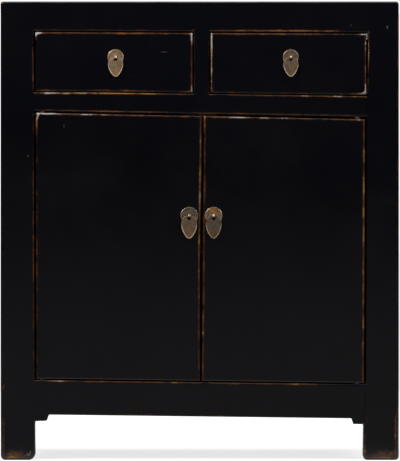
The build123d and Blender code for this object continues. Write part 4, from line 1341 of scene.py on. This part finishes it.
@dataclass
class Sides:
    """Back posts, side rails and back rails."""

    finishes: Finishes
    rail_thickness: float = 24.0
    back_setback: float = 6.0

    def lacquered(self, board: Board, node: str) -> None:
        """Make a lacquered board that stands for a node."""
        self.finishes.lacquered(board.build(MeshBag()), node)

    def build(self) -> None:
        """Make both sides and the back."""
        for side, name in ((-1, "left"), (1, "right")):
            x = mirrored(side, SIDE - 46.0, SIDE)
            outer_back = Edge(4.0, ((0, 0.7), (60, 0.45), (500, 0.3), (876, 0.45)), steady(Tone.GOLD))
            outer_front = Edge(1.2, steady(0.3), steady(Tone.GOLD), ((DOORS[0], TOP_RAILS), (0.0, APRON[0])))
            inner_front = Edge(1.5, spans=((0.0, APRON[0]),))
            inner_back = Edge(1.5, steady(0.3))
            edges = ((outer_front, inner_front, inner_back, outer_back) if side < 0
                     else (inner_front, outer_front, outer_back, inner_back))
            foot = End(4.0, 4.0, 3.0, 4.0, steady(0.7), steady(Tone.STRAW))
            self.lacquered(
                Board(Axis.Z, 0.0, TOP_UNDERSIDE, x, (POSTS_BACK, BACK), edges, start=foot, seed=5.0 + side),
                f"back_post_{name}",
            )
            x = mirrored(side, SIDE - self.rail_thickness, SIDE)
            open_low = Edge(1.3, ((-160, 0.3), (0, 0.45), (170, 0.3)), steady(Tone.GOLD))
            flush = Edge()
            low_outer = (open_low, flush) if side < 0 else (flush, open_low)
            self.lacquered(
                Board(Axis.Y, POSTS_FRONT, POSTS_BACK, x, (TOP_RAILS, TOP_UNDERSIDE),
                      (*low_outer, flush, flush), seed=21.0 + side),
                f"side_top_rail_{name}",
            )
            high_outer = (flush, open_low) if side < 0 else (open_low, flush)
            self.lacquered(
                Board(Axis.Y, POSTS_FRONT, POSTS_BACK, x, (APRON[0], DOORS[0]), (*low_outer, *high_outer),
                      seed=24.0 + side),
                f"side_bottom_rail_{name}",
            )
        for node, low, high in (
            ("top", TOP_RAILS, TOP_UNDERSIDE), ("middle", 681.0, DRAWERS[0]), ("bottom", APRON[1], DOORS[0]),
        ):
            eased = Edge(1.3, steady(0.3), steady(Tone.GOLD))
            over = Edge() if node == "top" else eased
            self.lacquered(
                Board(Axis.X, -344.0, 344.0, (BACK - 28.0, BACK - self.back_setback), (low, high),
                      (Edge(), eased, over, Edge()), seed=31.0 + low / 100),
                f"back_{node}_rail",
            )


@dataclass
class Top:
    """Mitred frame with a flush floating panel."""

    finishes: Finishes
    width: float = 70.0
    outer_radius: float = 5.0
    inner_radius: float = 0.5
    reveal: float = 0.5
    panel_thickness: float = 14.0
    tone: float = 0.75
    arc_steps: int = 7

    def section(self, fall: float, along: float, seed: float,
                wear: float) -> tuple[list[tuple[float, float]], list[float]]:
        """Section of a frame member as (distance in from the outside, height) points.

        Args:
            fall: how far the outside has gone round the corner.
            along: place along the member, for its unevenness.
            seed: number of the member.
            wear: how rubbed its upper outer edge is.

        Returns:
            The points and their wear.
        """
        slow = noise.noise(Vector((along / 42.0, seed, 0.3)))
        quick = noise.noise(Vector((along / 10.0, seed, 4.3)))
        radius = self.outer_radius * (1 + 0.14 * slow + 0.1 * quick)
        points = [(fall, TOP_UNDERSIDE), (fall, TOP - radius - 3.0)]
        wears = [0.0, 0.0]
        for k in range(self.arc_steps + 1):
            angle = k * pi / 2 / self.arc_steps
            points.append((fall + radius * (1 - cos(angle)), TOP - radius * (1 - sin(angle))))
            wears.append(wear * (1 - 0.3 * abs(2 * k / self.arc_steps - 1)))
        points.append((fall + radius + 3.0, TOP))
        points.append((self.width - 3.0, TOP))
        for k in range(4):
            angle = k * pi / 6
            points.append((self.width - self.inner_radius * (1 - sin(angle)),
                           TOP - self.inner_radius * (1 - cos(angle))))
        points.append((self.width, TOP_UNDERSIDE))
        wears += [0.0] * (len(points) - len(wears))
        return points, wears

    def member(self, node: str, half: float, place: Callable[[float, float, float], Point],
               seed: float) -> None:
        """Make one mitred member.

        Args:
            node: the node that it stands for.
            half: half its length.
            place: turns (along, in from the outside, height) into a point.
            seed: number of the member.
        """
        count = int(2 * half / 9.0)
        corner = [radians(45 * k / 4) for k in range(5)]
        stations: list[tuple[float, float, float]] = []  # outside place, fall, inside place
        last = self.outer_radius * (1 - sin(corner[-1]))
        for angle in reversed(corner):
            at = self.outer_radius * (1 - sin(angle))
            fall = self.outer_radius * (1 - cos(angle))
            stations.append((-half + at, fall, -half + self.width + 0.6 * (at - last)))
        straight = half - self.outer_radius
        inside = half - self.width - 0.6 * (self.outer_radius - last)
        for k in range(1, count):
            share = 2 * k / count - 1
            stations.append((straight * share, 0.0, inside * share))
        stations += [(-a, fall, -b) for a, fall, b in reversed(stations[:5])]
        bag = MeshBag()
        rings = []
        for outside, fall, within in stations:
            worn = (0.1 if half > 300.0 else 0.34) + 0.2 * noise.noise(Vector((outside / 60.0, seed, 9.1)))
            worn += 0.25 * max(0.0, 1 - (half - abs(outside)) / 12.0)
            points, wears = self.section(fall, outside, seed, worn)
            ring = []
            for inward, z in points:
                share = (inward - fall) / (self.width - fall)
                ring.append(place(outside + (within - outside) * share, inward, z))
            rings.append(bag.add_ring(ring, wear=wears, tone=[self.tone] * len(ring)))
        bag.cap(rings[0])
        bag.skin(rings)
        bag.cap(rings[-1])
        self.finishes.lacquered(bag, node)

    def build(self) -> None:
        """Make the frame and the panel."""
        middle = (FRONT + BACK) / 2
        deep = (BACK - FRONT) / 2
        self.member("top_frame_front", SIDE, lambda s, w, z: (s, FRONT + w, z), 1.0)
        self.member("top_frame_back", SIDE, lambda s, w, z: (s, BACK - w, z), 2.0)
        self.member("top_frame_left", deep, lambda s, w, z: (-SIDE + w, middle + s, z), 3.0)
        self.member("top_frame_right", deep, lambda s, w, z: (SIDE - w, middle + s, z), 4.0)
        gap = self.width + self.reveal
        soft = Edge(0.6, steady(0.12))
        end = End(v_high=0.6)
        panel = Board(
            Axis.X, -SIDE + gap, SIDE - gap, (FRONT + gap, BACK - gap), (TOP - self.panel_thickness, TOP),
            (Edge(), Edge(), soft, soft), start=end, finish=end, seed=41.0,
        )
        self.finishes.lacquered(panel.build(MeshBag()), "top_panel")


TARNISHES = {  # each pull's plate and drop
    "drawer_left": (Tarnish(0.95, 0.6), Tarnish(0.85, 0.4)),
    "drawer_right": (Tarnish(0.5, 0.4, 0.6, 0.9), Tarnish(0.5, 0.6, rub=0.8)),
    "door_left": (Tarnish(0.45, 0.2, 0.9, 0.9), Tarnish(0.5, 0.5, rub=0.8)),
    "door_right": (Tarnish(0.75, 0.8, 0.7), Tarnish(0.35, 0.3, rub=0.5)),
}


@dataclass(frozen=True)
class PullSize:
    """The sizes that differ between the doors' pulls and the drawers'."""

    plate_diameter: float
    drop_width: float
    drop_length: float
    slot_height: float


DOOR_PULL = PullSize(34.0, 31.0, 46.0, 6.4)
DRAWER_PULL = PullSize(31.0, 30.0, 39.5, 4.6)


@dataclass
class Pull:
    """A round plate, a split-pin eye and a hanging drop."""

    finishes: Finishes
    name: str
    x: float
    z: float
    plate_tarnish: Tarnish
    drop_tarnish: Tarnish
    size: PullSize
    wood_thickness: float
    seed: float
    plate_thickness: float = 1.0
    rim_width: float = 1.6
    rim_height: float = 0.6
    eye_inner: float = 2.8
    eye_band: float = 1.4
    eye_width: float = 4.6
    flank_radius: float = 40.0
    tip_radius: float = 6.2
    # how far the painted shade below the pin reaches on the plate
    shade_reach: float = 14.0
    drop_rise: float = 1.2
    drop_thickness: float = 1.6
    slot_width: float = 6.4
    around: int = 72

    def build(self) -> None:
        """Make the three parts."""
        finish = AgedBrass(self.finishes.effects, f"{self.name}_plate_brass", self.plate_tarnish).build()
        self.plate(finish)
        self.eye(finish)
        self.drop(AgedBrass(self.finishes.effects, f"{self.name}_drop_brass", self.drop_tarnish).build())

    def plate(self, finish: bpy.types.Material) -> None:
        """Make the plate: a raised rolled rim, a dished field with a turned groove, and the pin hole.

        Args:
            finish: its brass.
        """
        outer = self.size.plate_diameter / 2
        rim = self.rim_width
        face, crest = self.plate_thickness, self.plate_thickness + self.rim_height
        profile = [  # radius, height over the wood, how rubbed
            (3.0, 0.1, 0.0), (3.0, face * 0.7, 0.0), (3.3, face, 0.1), (4.6, face + 0.30, 0.25),
            (5.4, face + 0.42, 0.3), (6.2, face + 0.35, 0.15),
            (outer * 0.50, face + 0.25, 0.1), (outer * 0.55, face - 0.05, 0.0),
            (outer * 0.60, face - 0.20, 0.0),
            (outer * 0.65, face + 0.02, 0.0), (outer * 0.75, face + 0.10, 0.1),
            (outer - rim - 1.0, face + 0.05, 0.05), (outer - rim, face + 0.10, 0.1),
            (outer - rim * 0.72, crest - 0.16, 0.25), (outer - rim * 0.45, crest, 0.36),
            (outer - rim * 0.2, crest - 0.2, 0.36), (outer - 0.02, face + 0.15, 0.15),
            (outer, face * 0.4, 0.0),
            (outer - 0.1, 0.0, 0.0),
        ]
        bag = MeshBag()
        rings: list[list[int]] = []
        for radius, height, rubbed in profile:
            ring, rims, soot_and_shade_values = [], [], []
            for k in range(self.around):
                angle = 2 * pi * k / self.around
                beat = noise.noise(Vector((cos(angle) * 1.3, sin(angle) * 1.3, self.seed + radius * 0.11)))
                wide = radius + (0.22 * beat if radius > outer - 0.5 else 0.08 * beat)
                lift = height + (0.10 * beat if height > 0.5 else 0.0)
                ring.append((self.x + wide * cos(angle), FRONT - lift, self.z + wide * sin(angle)))
                rims.append(max(0.0, min(1.0, rubbed + 0.25 * beat)))
                groove = 0.5 * max(0.0, 1 - abs(radius / outer - 0.6) / 0.08)
                # painted shade on the plate below the pin, where the drop hangs over it
                under = max(0.0, -sin(angle)) * max(0.0, 1 - radius / self.shade_reach) ** 0.5
                soot_and_shade_values.append(max(groove, min(1.0, 1.6 * under)))
            rings.append(bag.add_ring(ring, rim=rims, hollow=soot_and_shade_values))
        bag.skin([*rings, rings[0]])
        bag.piece(f"{self.name}_pull_plate_worked", self.name, "aged_brass", finish,
                  (f"{self.name}_pull_plate",))

    def eye(self, finish: bpy.types.Material) -> None:
        """Make the split pin: one strap bent into an eye, its legs through the wood and clinched.

        Args:
            finish: its brass.
        """
        bag = MeshBag()
        middle = self.eye_inner + self.eye_band / 2
        half, thin = self.eye_width / 2, self.eye_band / 2
        section = []
        for k in range(20):
            angle = 2 * pi * k / 20
            squash = 0.62
            across = half * (abs(cos(angle)) ** squash) * (1 if cos(angle) >= 0 else -1)
            out = thin * (abs(sin(angle)) ** squash) * (1 if sin(angle) >= 0 else -1)
            section.append((across, out + (0.28 * (1 - (across / half) ** 2) if out > 0 else 0.0)))
        rings = []
        for k in range(40):
            turn = 2 * pi * k / 40
            ring = [
                (self.x + across, EYE_Y + (middle + out) * cos(turn), self.z + (middle + out) * sin(turn))
                for across, out in section
            ]
            # the eye's front is bright, partly polish and partly a painted highlight; its lower half is
            # darkened as painted shade
            tip = max(0.0, 1 - (abs(sin(turn)) / 0.5) ** 3) if cos(turn) < 0 else 0.0
            rims = [tip if out > 0 else 0.0 for _, out in section]
            dull = min(1.0, 1.2 * max(0.0, -sin(turn))) * (1 - tip)
            rings.append(bag.add_ring(ring, rim=rims, hollow=[dull] * 20))
        bag.skin([*rings, rings[0]])
        inner_face = FRONT + self.wood_thickness
        Board(Axis.Y, EYE_Y + middle - 0.4, inner_face + 0.6, (self.x - half, self.x + half),
              (self.z - 2 * thin, self.z + 2 * thin), tuple(Edge(0.4) for _ in range(4)), step=3.0).build(bag)
        ends = End(0.6, 0.6, 0.3, 0.9)
        Board(Axis.Z, self.z - 9.0, self.z + 9.0, (self.x - half, self.x + half),
              (inner_face, inner_face + self.eye_band), tuple(Edge(0.4) for _ in range(4)),
              start=ends, finish=ends, step=3.0).build(bag)
        bag.piece(f"{self.name}_pull_eye_worked", self.name, "aged_brass", finish, (f"{self.name}_pull_eye",))

    def outline(self, inset: float) -> list[tuple[float, float]]:
        """Outline of the drop about the middle of its head.

        Args:
            inset: how far it is moved in.

        Returns:
            The points, anticlockwise from the right.
        """
        head, tip, flank = self.size.drop_width / 2, self.tip_radius, self.flank_radius
        tip_below = self.size.drop_length - head - tip
        to_head, to_tip = flank - head, flank - tip
        above = (to_tip**2 - to_head**2 - tip_below**2) / (2 * tip_below)
        across = sqrt(to_head**2 - above**2)
        lean_head, lean_tip = atan2(-above, across), asin(-(above + tip_below) / to_tip)
        head, tip, flank = head - inset, tip - inset, flank - inset
        n_head, n_flank, n_tip = self.around // 3, self.around // 4, self.around // 6
        points = []
        for k in range(n_head):
            angle = lean_head + (pi - 2 * lean_head) * k / n_head
            points.append((head * cos(angle), head * sin(angle)))
        for k in range(n_flank):
            angle = lean_head + (lean_tip - lean_head) * k / n_flank
            points.append((across - flank * cos(angle), above + flank * sin(angle)))
        for k in range(n_tip):
            angle = pi - lean_tip + 2 * (pi / 2 + lean_tip) * k / n_tip
            points.append((tip * cos(angle), -tip_below + tip * sin(angle)))
        for k in range(n_flank):
            angle = lean_tip + (lean_head - lean_tip) * k / n_flank
            points.append((-across + flank * cos(angle), above + flank * sin(angle)))
        return points

    def heights_down(self, ring: Sequence[Point], head_z: float) -> list[float]:
        """How far down the drop each point is, from 0 to 1.

        Args:
            ring: the points.
            head_z: height of the middle of the drop's head.

        Returns:
            The points' shares of the drop's length.
        """
        top = head_z + self.size.drop_width / 2
        return [(top - z) / self.size.drop_length for _, _, z in ring]

    def slot_outline(self, points: Sequence[tuple[float, float]], middle: float) -> list[tuple[float, float]]:
        """The slot's edge, one point for each of the drop's, seen from the slot's middle.

        Args:
            points: the drop's outline.
            middle: height of the slot's middle.

        Returns:
            The slot's points.
        """
        half_w, half_h, power = self.slot_width / 2, self.size.slot_height / 2, 4.0
        edge = []
        for px, py in points:
            angle = atan2(py - middle, px)
            roundness = (abs(cos(angle)) / half_w) ** power + (abs(sin(angle)) / half_h) ** power
            reach = roundness ** (-1 / power)
            edge.append((reach * cos(angle), middle + reach * sin(angle)))
        return edge

    def drop(self, finish: bpy.types.Material) -> None:
        """Make the drop: a smooth domed face with soft edges, and a slot for the eye.

        Args:
            finish: its brass.
        """
        back = EYE_Y + self.drop_thickness / 2
        face = back - self.drop_thickness
        head = self.size.drop_width / 2
        head_z = self.z + self.drop_rise - head
        slot_top = -sqrt((self.eye_inner - 0.3) ** 2 - (self.drop_thickness / 2) ** 2)
        slot_middle = self.z + slot_top - self.size.slot_height / 2 - head_z
        steps = [  # inset, height over the field, how rubbed
            (0.35, -self.drop_thickness, 0.0), (0.0, -self.drop_thickness + 0.35, 0.2), (0.0, -0.55, 0.5),
            (0.18, -0.22, 0.8), (0.5, 0.05, 0.95), (1.0, 0.22, 0.95), (1.6, 0.30, 0.6), (2.3, 0.33, 0.1),
        ]
        bag = MeshBag()
        rings = []
        for inset, height, rubbed in steps:
            outline = self.outline(inset)
            ring, rims = [], []
            for k, (px, py) in enumerate(outline):
                beat = noise.noise(Vector((px / 7.0, py / 7.0, self.seed)))
                grow = 1 + 0.012 * beat
                ring.append((self.x + px * grow, face - height * (1 + 0.12 * beat), head_z + py * grow))
                below = min(max(0.35 - py / head, 0.0), 1.0)
                rims.append(max(0.0, min(1.0, rubbed * below * (1.0 + 0.6 * beat))))
            rings.append(bag.add_ring(ring, rim=rims, down=self.heights_down(ring, head_z)))
        inner = self.outline(steps[-1][0])
        slot = self.slot_outline(inner, slot_middle)
        edge = self.outline(0.0)
        laps = 16
        for lap in range(1, laps + 1):
            share = (lap / laps) ** 0.8
            ring, rims = [], []
            for (ax, ay), (bx, by) in zip(inner, slot):
                px, py = ax + (bx - ax) * share, ay + (by - ay) * share
                depth = min(hypot(px - ex, py - ey) for ex, ey in edge) - steps[-1][0]
                swell = 1 - (1 - min(max(depth / 12.0, 0.0), 1.0)) ** 2
                beat = noise.noise(Vector((px / 8.0, py / 8.0, self.seed + 4.0)))
                near_slot = max(0.0, 1 - hypot(px, (py - slot_middle) * 1.2) / 5.0)
                lift = 0.33 + (0.75 * swell + 0.10 * beat) * (1 - near_slot)
                ring.append((self.x + px, face - lift, head_z + py))
                rims.append(0.2 * near_slot)
            rings.append(bag.add_ring(ring, rim=rims, down=self.heights_down(ring, head_z)))
        # the slot's wall is fully darkened: painted shade in the slot
        wall = [(self.x + px, back, head_z + py) for px, py in slot]
        rings.append(bag.add_ring(wall, hollow=[1.0] * len(wall)))
        bag.skin([*rings, rings[0]])
        bag.piece(f"{self.name}_pull_drop_worked", f"{self.name}_drop", "aged_brass", finish,
                  (f"{self.name}_pull_drop",))


@dataclass
class Door:
    """A door: one lacquered face, a framed back with two sunk fields, and wooden pivots."""

    finishes: Finishes
    side: int
    gap: float = 2.5
    thickness: float = 22.0
    edge_radius: float = 3.3
    hinge_stile: float = 60.0
    meeting_stile: float = 50.0
    rail: float = 50.0
    middle_rail: tuple[float, float] = (391.0, 441.0)
    panel_back: float = 10.0
    pivot_radius: float = 6.0
    pivot_length: float = 12.0
    pivot_sides: int = 24
    pull_from_seam: float = 24.0
    pull_height: float = 479.5

    @property
    def name(self) -> str:
        """Name of the door's body."""
        return f"door_{'left' if self.side < 0 else 'right'}"

    def build(self) -> None:
        """Make the leaf, its pivots and its pull."""
        self.leaf()
        self.pivots()
        pull_x = CENTRE_X + self.pull_from_seam * self.side
        Pull(self.finishes, self.name, pull_x, self.pull_height, *TARNISHES[self.name], DOOR_PULL,
             self.thickness, 50.0 + self.side).build()

    def leaf(self) -> None:
        """Make the leaf."""
        low, high = DOORS[0] + self.gap, DOORS[1] - self.gap
        radius = self.edge_radius
        if self.side < 0:
            x = (-321.5, 1.75)
            hinge = Edge(  # knocked at its upper corner
                radius, ((155, 0.2), (300, 0.3), (630, 0.25), (668, 0.85)),
                ((155, 0.4), (400, 0.9), (640, 0.9), (665, 0.1)), lean=steady(0.2), breadth=1.0,
                swell=((662, 1.0), (670, 1.7), (677, 2.8)),
            )
            seam = Edge(radius, ((155, 0.3), (480, 0.6), (675, 0.45)), ((155, 0.4), (675, 0.6)),
                        lean=steady(0.2), breadth=1.0)
            field_x = (x[0] + self.hinge_stile, x[1] - self.meeting_stile)
            front = (hinge, seam)
            # tones near 0 give the pale grey ground: partly worn clay, partly a painted highlight along the
            # up-facing top edge
            top = (((-322, 1.0), (-306, 1.0), (-290, 0.6), (-7, 0.45)),
                   ((-322, 0.0), (-180, 0.05), (-100, 0.3)))
        else:
            x = (5.25, 324.4)
            seam = Edge(radius, ((155, 0.4), (650, 0.4), (675, 0.6)), ((155, 0.35), (628, 0.8), (675, 0.4)),
                        lean=steady(0.2), breadth=1.0)
            hinge = Edge(radius, ((155, 0.4), (550, 0.6), (675, 0.45)), ((155, 0.65), (628, 0.7), (675, 0.1)),
                         lean=steady(0.2), breadth=1.0)
            field_x = (x[0] + self.meeting_stile, x[1] - self.hinge_stile)
            front = (seam, hinge)
            # tones near 0 give the pale grey ground: partly worn clay, partly a painted highlight along the
            # up-facing top edge
            top = (((5, 0.4), (70, 0.6), (165, 0.55), (240, 0.3), (318, 0.5)),
                   ((5, 0.2), (165, 0.0), (240, 0.4), (318, 0.0)))
        bottom_end = End(0.8, 0.8, radius, 0.8, steady(0.06), steady(0.6))
        top_end = End(0.8, 0.8, radius, 0.8, *top)
        stretches = ((low + self.rail, self.middle_rail[0]), (self.middle_rail[1], high - self.rail))
        sunk = Field(*field_x, self.panel_back, stretches)
        back = Edge(1.0, steady(0.2))
        board = Board(Axis.Z, low, high, x, (FRONT, FRONT + self.thickness), (*front, back, back),
                      start=bottom_end, finish=top_end, sunk=sunk, seed=60.0 + self.side)
        nodes = [f"{self.name}_{part}" for part in ("hinge_stile", "meeting_stile", "rails", "panel")]
        board.build(MeshBag(settling=DOOR_SETTLINGS[self.side])).piece(
            f"{self.name}_leaf", self.name, "black_lacquer", self.finishes.lacquer, nodes)

    def pivots(self) -> None:
        """Make the pivots at the ends of the hinge stile."""
        x, y = self.side * (OPENING - 16.5), FRONT + 10.0
        bag = MeshBag(settling=FRAME_SETTLING)
        for base, way in ((DOORS[0] + self.gap, -1), (DOORS[1] - self.gap, 1)):
            rings = []
            for radius, height in ((6.4, -0.5), (self.pivot_radius, 0.4), (self.pivot_radius, 5.0),
                                   (self.pivot_radius - 0.05, self.pivot_length - 1.0),
                                   (self.pivot_radius - 1.0, self.pivot_length)):
                angles = [2 * pi * k / self.pivot_sides for k in range(self.pivot_sides)]
                ring = [(x + radius * cos(a), y + radius * sin(a), base + way * height) for a in angles]
                rings.append(bag.add_ring(ring, wear=[0.0] * self.pivot_sides))
            bag.skin(rings)
            bag.cap(rings[0])
            bag.cap(rings[-1])
        bag.piece(f"{self.name}_pivots", self.name, "black_lacquer", self.finishes.wood[Axis.Z])


@dataclass
class Drawer:
    """A drawer's front and its pull. Its box keeps its nodes."""

    finishes: Finishes
    side: int
    gap: float = 3.0
    top_gap: float = 2.2
    bottom_gap: float = 1.5
    thickness: float = 20.0
    edge_radius: float = 3.0
    pull_height: float = 790.0

    @property
    def name(self) -> str:
        """Name of the drawer's body."""
        return f"drawer_{'left' if self.side < 0 else 'right'}"

    def build(self) -> None:
        """Make the front and its pull."""
        z = (DRAWERS[0] + self.bottom_gap, DRAWERS[1] - self.top_gap)
        radius = self.edge_radius
        if self.side < 0:
            x, pull_x = (-OPENING + self.gap, DIVIDER[0] - 1.9), -164.75
            # tones near 0 give the pale grey ground: partly worn clay, partly a painted highlight along the
            # up-facing top edge
            top = Edge(radius, ((-322, 0.75), (-290, 0.4), (-22, 0.5), (-15, 0.8)),
                       ((-322, 0.0), (-200, 0.7), (-80, 0.6), (-22, 0.1)), breadth=0.85,
                       swell=((-322, 2.0), (-314, 1.0), (-24, 1.0), (-15, 2.0)))
            low = Edge(radius, ((-322, 0.45), (-230, 0.3), (-150, 0.5), (-42, 0.15), (-15, 0.6)),
                       ((-322, 0.0), (-240, 0.9), (-30, 1.0), (-18, 0.0)), lean=steady(0.2),
                       swell=((-24, 1.0), (-15, 1.8)))
            start = (((722, 0.1), (825, 0.2), (838, 0.9)), ((722, 0.5), (800, 0.7), (830, 0.0)))
            finish = (((722, 0.75), (742, 0.45), (815, 0.5), (838, 0.85)),
                      ((722, 0.0), (777, 0.4), (830, 0.1)))
        else:
            x, pull_x = (DIVIDER[1] + 2.5, 327.0), 178.75
            # tones near 0 give the pale grey ground: partly worn clay, partly a painted highlight along the
            # up-facing top edge
            top = Edge(radius, ((22, 0.5), (180, 0.5), (300, 0.3), (320, 0.5)),
                       ((22, 0.1), (90, 0.8), (240, 0.6), (322, 0.0)), breadth=0.85)
            low = Edge(radius, ((22, 0.4), (34, 0.25), (290, 0.2), (325, 0.9)),
                       ((22, 0.0), (60, 0.9), (300, 0.8), (320, 0.0)), lean=steady(0.2),
                       swell=((22, 1.8), (30, 1.0), (316, 1.0), (325, 2.2)))
            start = (((722, 0.5), (790, 0.9), (838, 0.8)), ((722, 0.0), (790, 0.4), (830, 0.1)))
            finish = (((722, 0.3), (732, 1.0), (745, 0.45), (838, 0.45)), steady(0.0))
        board = Board(Axis.X, *x, (FRONT, FRONT + self.thickness), z, (low, Edge(), Edge(), top),
                      start=End(radius, 0.0, 0.8, 0.8, *start), finish=End(radius, 0.0, 0.8, 0.8, *finish),
                      seed=70.0 + self.side)
        board.build(MeshBag(settling=FRAME_SETTLING)).piece(f"{self.name}_front_lacquered", self.name,
                                                            "black_lacquer", self.finishes.lacquer,
                                                            (f"{self.name}_front",))
        Pull(self.finishes, self.name, pull_x, self.pull_height, *TARNISHES[self.name], DRAWER_PULL,
             self.thickness, 80.0 + self.side).build()


@dataclass
class Inside:
    """The parts that keep their nodes: panels, floor, shelf, runners and drawer boxes."""

    finishes: Finishes

    def build(self) -> None:
        """Give each kept node its finish."""
        along_x = ["top_batten", "shelf", "bottom_panel", "stop_blocks", "drawer_left_back",
                   "drawer_right_back", "drawer_left_bottom", "drawer_right_bottom"]
        along_y = ["shelf_cleats", "drawer_runner_left", "drawer_runner_right", "drawer_runner_centre",
                   "drawer_left_sides", "drawer_right_sides"]
        for names, finish in (
            (along_x, self.finishes.wood[Axis.X]), (along_y, self.finishes.wood[Axis.Y]),
            (["back_panels"], self.finishes.wood[Axis.Z]),
            (["side_panel_left", "side_panel_right"], self.finishes.lacquer),
        ):
            for name in names:
                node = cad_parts[name]
                node.data.materials.clear()
                node.data.materials.append(finish)
                log.info("%s: %s", name, finish.name)


# Studio


@dataclass
class Lamp:
    """A soft lamp that looks at the cabinet."""

    name: str
    place: Point
    size: float
    watts: float
    colour: Point = (1.0, 1.0, 1.0)

    def build(self) -> None:
        """Hang the lamp."""
        data = bpy.data.lights.new(self.name, "AREA")
        data.shape = "DISK"
        data.size = self.size
        data.energy = self.watts
        data.color = self.colour
        lamp = bpy.data.objects.new(self.name, data)
        lamp.location = self.place
        aim = Vector((0.0, 0.0, 0.5)) - Vector(self.place)
        lamp.rotation_euler = aim.to_track_quat("-Z", "Y").to_euler()
        lamp.visible_camera = False
        bpy.context.scene.collection.objects.link(lamp)


@dataclass
class Studio:
    """Floor, light and camera."""

    lens: float = 300.0
    distance: float = 7.5335
    aim: tuple[float, float] = (0.0007, 0.4504)
    floor_size: tuple[float, float, float] = (4.0, -0.40, 3.0)

    def build(self) -> None:
        """Set up the studio."""
        scene = bpy.context.scene
        scene.view_settings.view_transform = "Standard"
        self.camera(scene)
        self.floor()
        self.world(scene)
        for lamp in (
            Lamp("key", (-2.1, -1.9, 2.9), 1.3, 130.0, (1.0, 0.98, 0.95)),
            Lamp("fill", (2.5, -1.7, 2.4), 1.6, 74.0, (0.95, 0.98, 1.0)),
            Lamp("overhead", (0.0, 0.3, 3.2), 2.4, 76.0),
        ):
            lamp.build()

    def camera(self, scene: bpy.types.Scene) -> None:
        """Place the camera square to the front.

        Args:
            scene: the scene that it looks at.
        """
        data = bpy.data.cameras.new("camera")
        data.lens = self.lens
        data.sensor_width = 36.0
        data.clip_end = 50.0
        camera = bpy.data.objects.new("camera", data)
        camera.location = (self.aim[0], FRONT * MM - self.distance, self.aim[1])
        camera.rotation_euler = (pi / 2, 0.0, 0.0)
        scene.collection.objects.link(camera)
        scene.camera = camera

    def floor(self) -> None:
        """Lay a plain pale floor."""
        half, near, far = self.floor_size
        mesh = bpy.data.meshes.new("studio_floor")
        corners = [(-half, near, 0), (half, near, 0), (half, far, 0), (-half, far, 0)]
        mesh.from_pydata(corners, [], [(0, 1, 2, 3)])
        material = bpy.data.materials.new("studio_floor")
        material.use_nodes = True
        w = Wiring(material.node_tree)
        shader = material.node_tree.nodes["Principled BSDF"]
        shader.inputs["Base Color"].default_value = (0.40, 0.40, 0.398, 1.0)
        shader.inputs["Roughness"].default_value = 0.9
        shader.inputs["Specular IOR Level"].default_value = 0.1
        shader.inputs["Emission Color"].default_value = (1.0, 1.0, 1.0, 1.0)
        rays = w.add("ShaderNodeLightPath")
        seen = w.math("ADD", rays.outputs["Is Glossy Ray"], rays.outputs["Is Transmission Ray"])
        seen = w.math("ADD", seen, rays.outputs["Is Camera Ray"], clamp=True)
        w.feed(shader.inputs["Emission Strength"], w.math("MULTIPLY", seen, 0.75))
        mesh.materials.append(material)
        floor = bpy.data.objects.new("studio_floor", mesh)
        bpy.context.scene.collection.objects.link(floor)

    def world(self, scene: bpy.types.Scene) -> None:
        """Surround the cabinet with a soft dome, a white backdrop behind it and a dim room before it.

        The room's floor, under the horizon, is a little paler than its far wall.

        Args:
            scene: the scene that it surrounds.
        """
        world = bpy.data.worlds.new("studio")
        scene.world = world
        world.use_nodes = True
        w = Wiring(world.node_tree)
        background = world.node_tree.nodes["Background"]
        rays = w.add("ShaderNodeLightPath")
        ways = w.add("ShaderNodeSeparateXYZ")
        w.feed(ways.inputs[0], w.add("ShaderNodeTexCoord").outputs["Generated"])
        high = w.remap(ways.outputs["Z"], 0.25, 0.85)
        under = w.remap(ways.outputs["Z"], -0.005, -0.015)
        wall = w.blend(w.remap(ways.outputs["Z"], 0.015, 0.06), (0.010, 0.014, 0.044), (0.080, 0.088, 0.145))
        room = w.blend(under, wall, (0.385, 0.365, 0.385))
        dome = w.blend(high, room, (0.32, 0.33, 0.35))
        behind = w.remap(ways.outputs["Y"], 0.35, 0.9)
        seen = w.math("ADD", rays.outputs["Is Glossy Ray"], rays.outputs["Is Transmission Ray"], clamp=True)
        seen = w.math("MAXIMUM", w.math("MULTIPLY", seen, behind), rays.outputs["Is Camera Ray"])
        w.feed(background.inputs["Color"], w.blend(seen, dome, (1.0, 1.0, 1.0)))
        background.inputs["Strength"].default_value = 1.0


def main() -> None:
    """Build the cabinet, piece by piece, and the studio round it."""
    logging.basicConfig(level=logging.INFO, format="%(name)s %(message)s")
    finishes = Finishes()
    FrontFrame(finishes).build()
    Sides(finishes).build()
    Top(finishes).build()
    for side in (-1, 1):
        Door(finishes, side).build()
        Drawer(finishes, side).build()
    Inside(finishes).build()
    Studio().build()


if __name__ == "__main__":
    main()
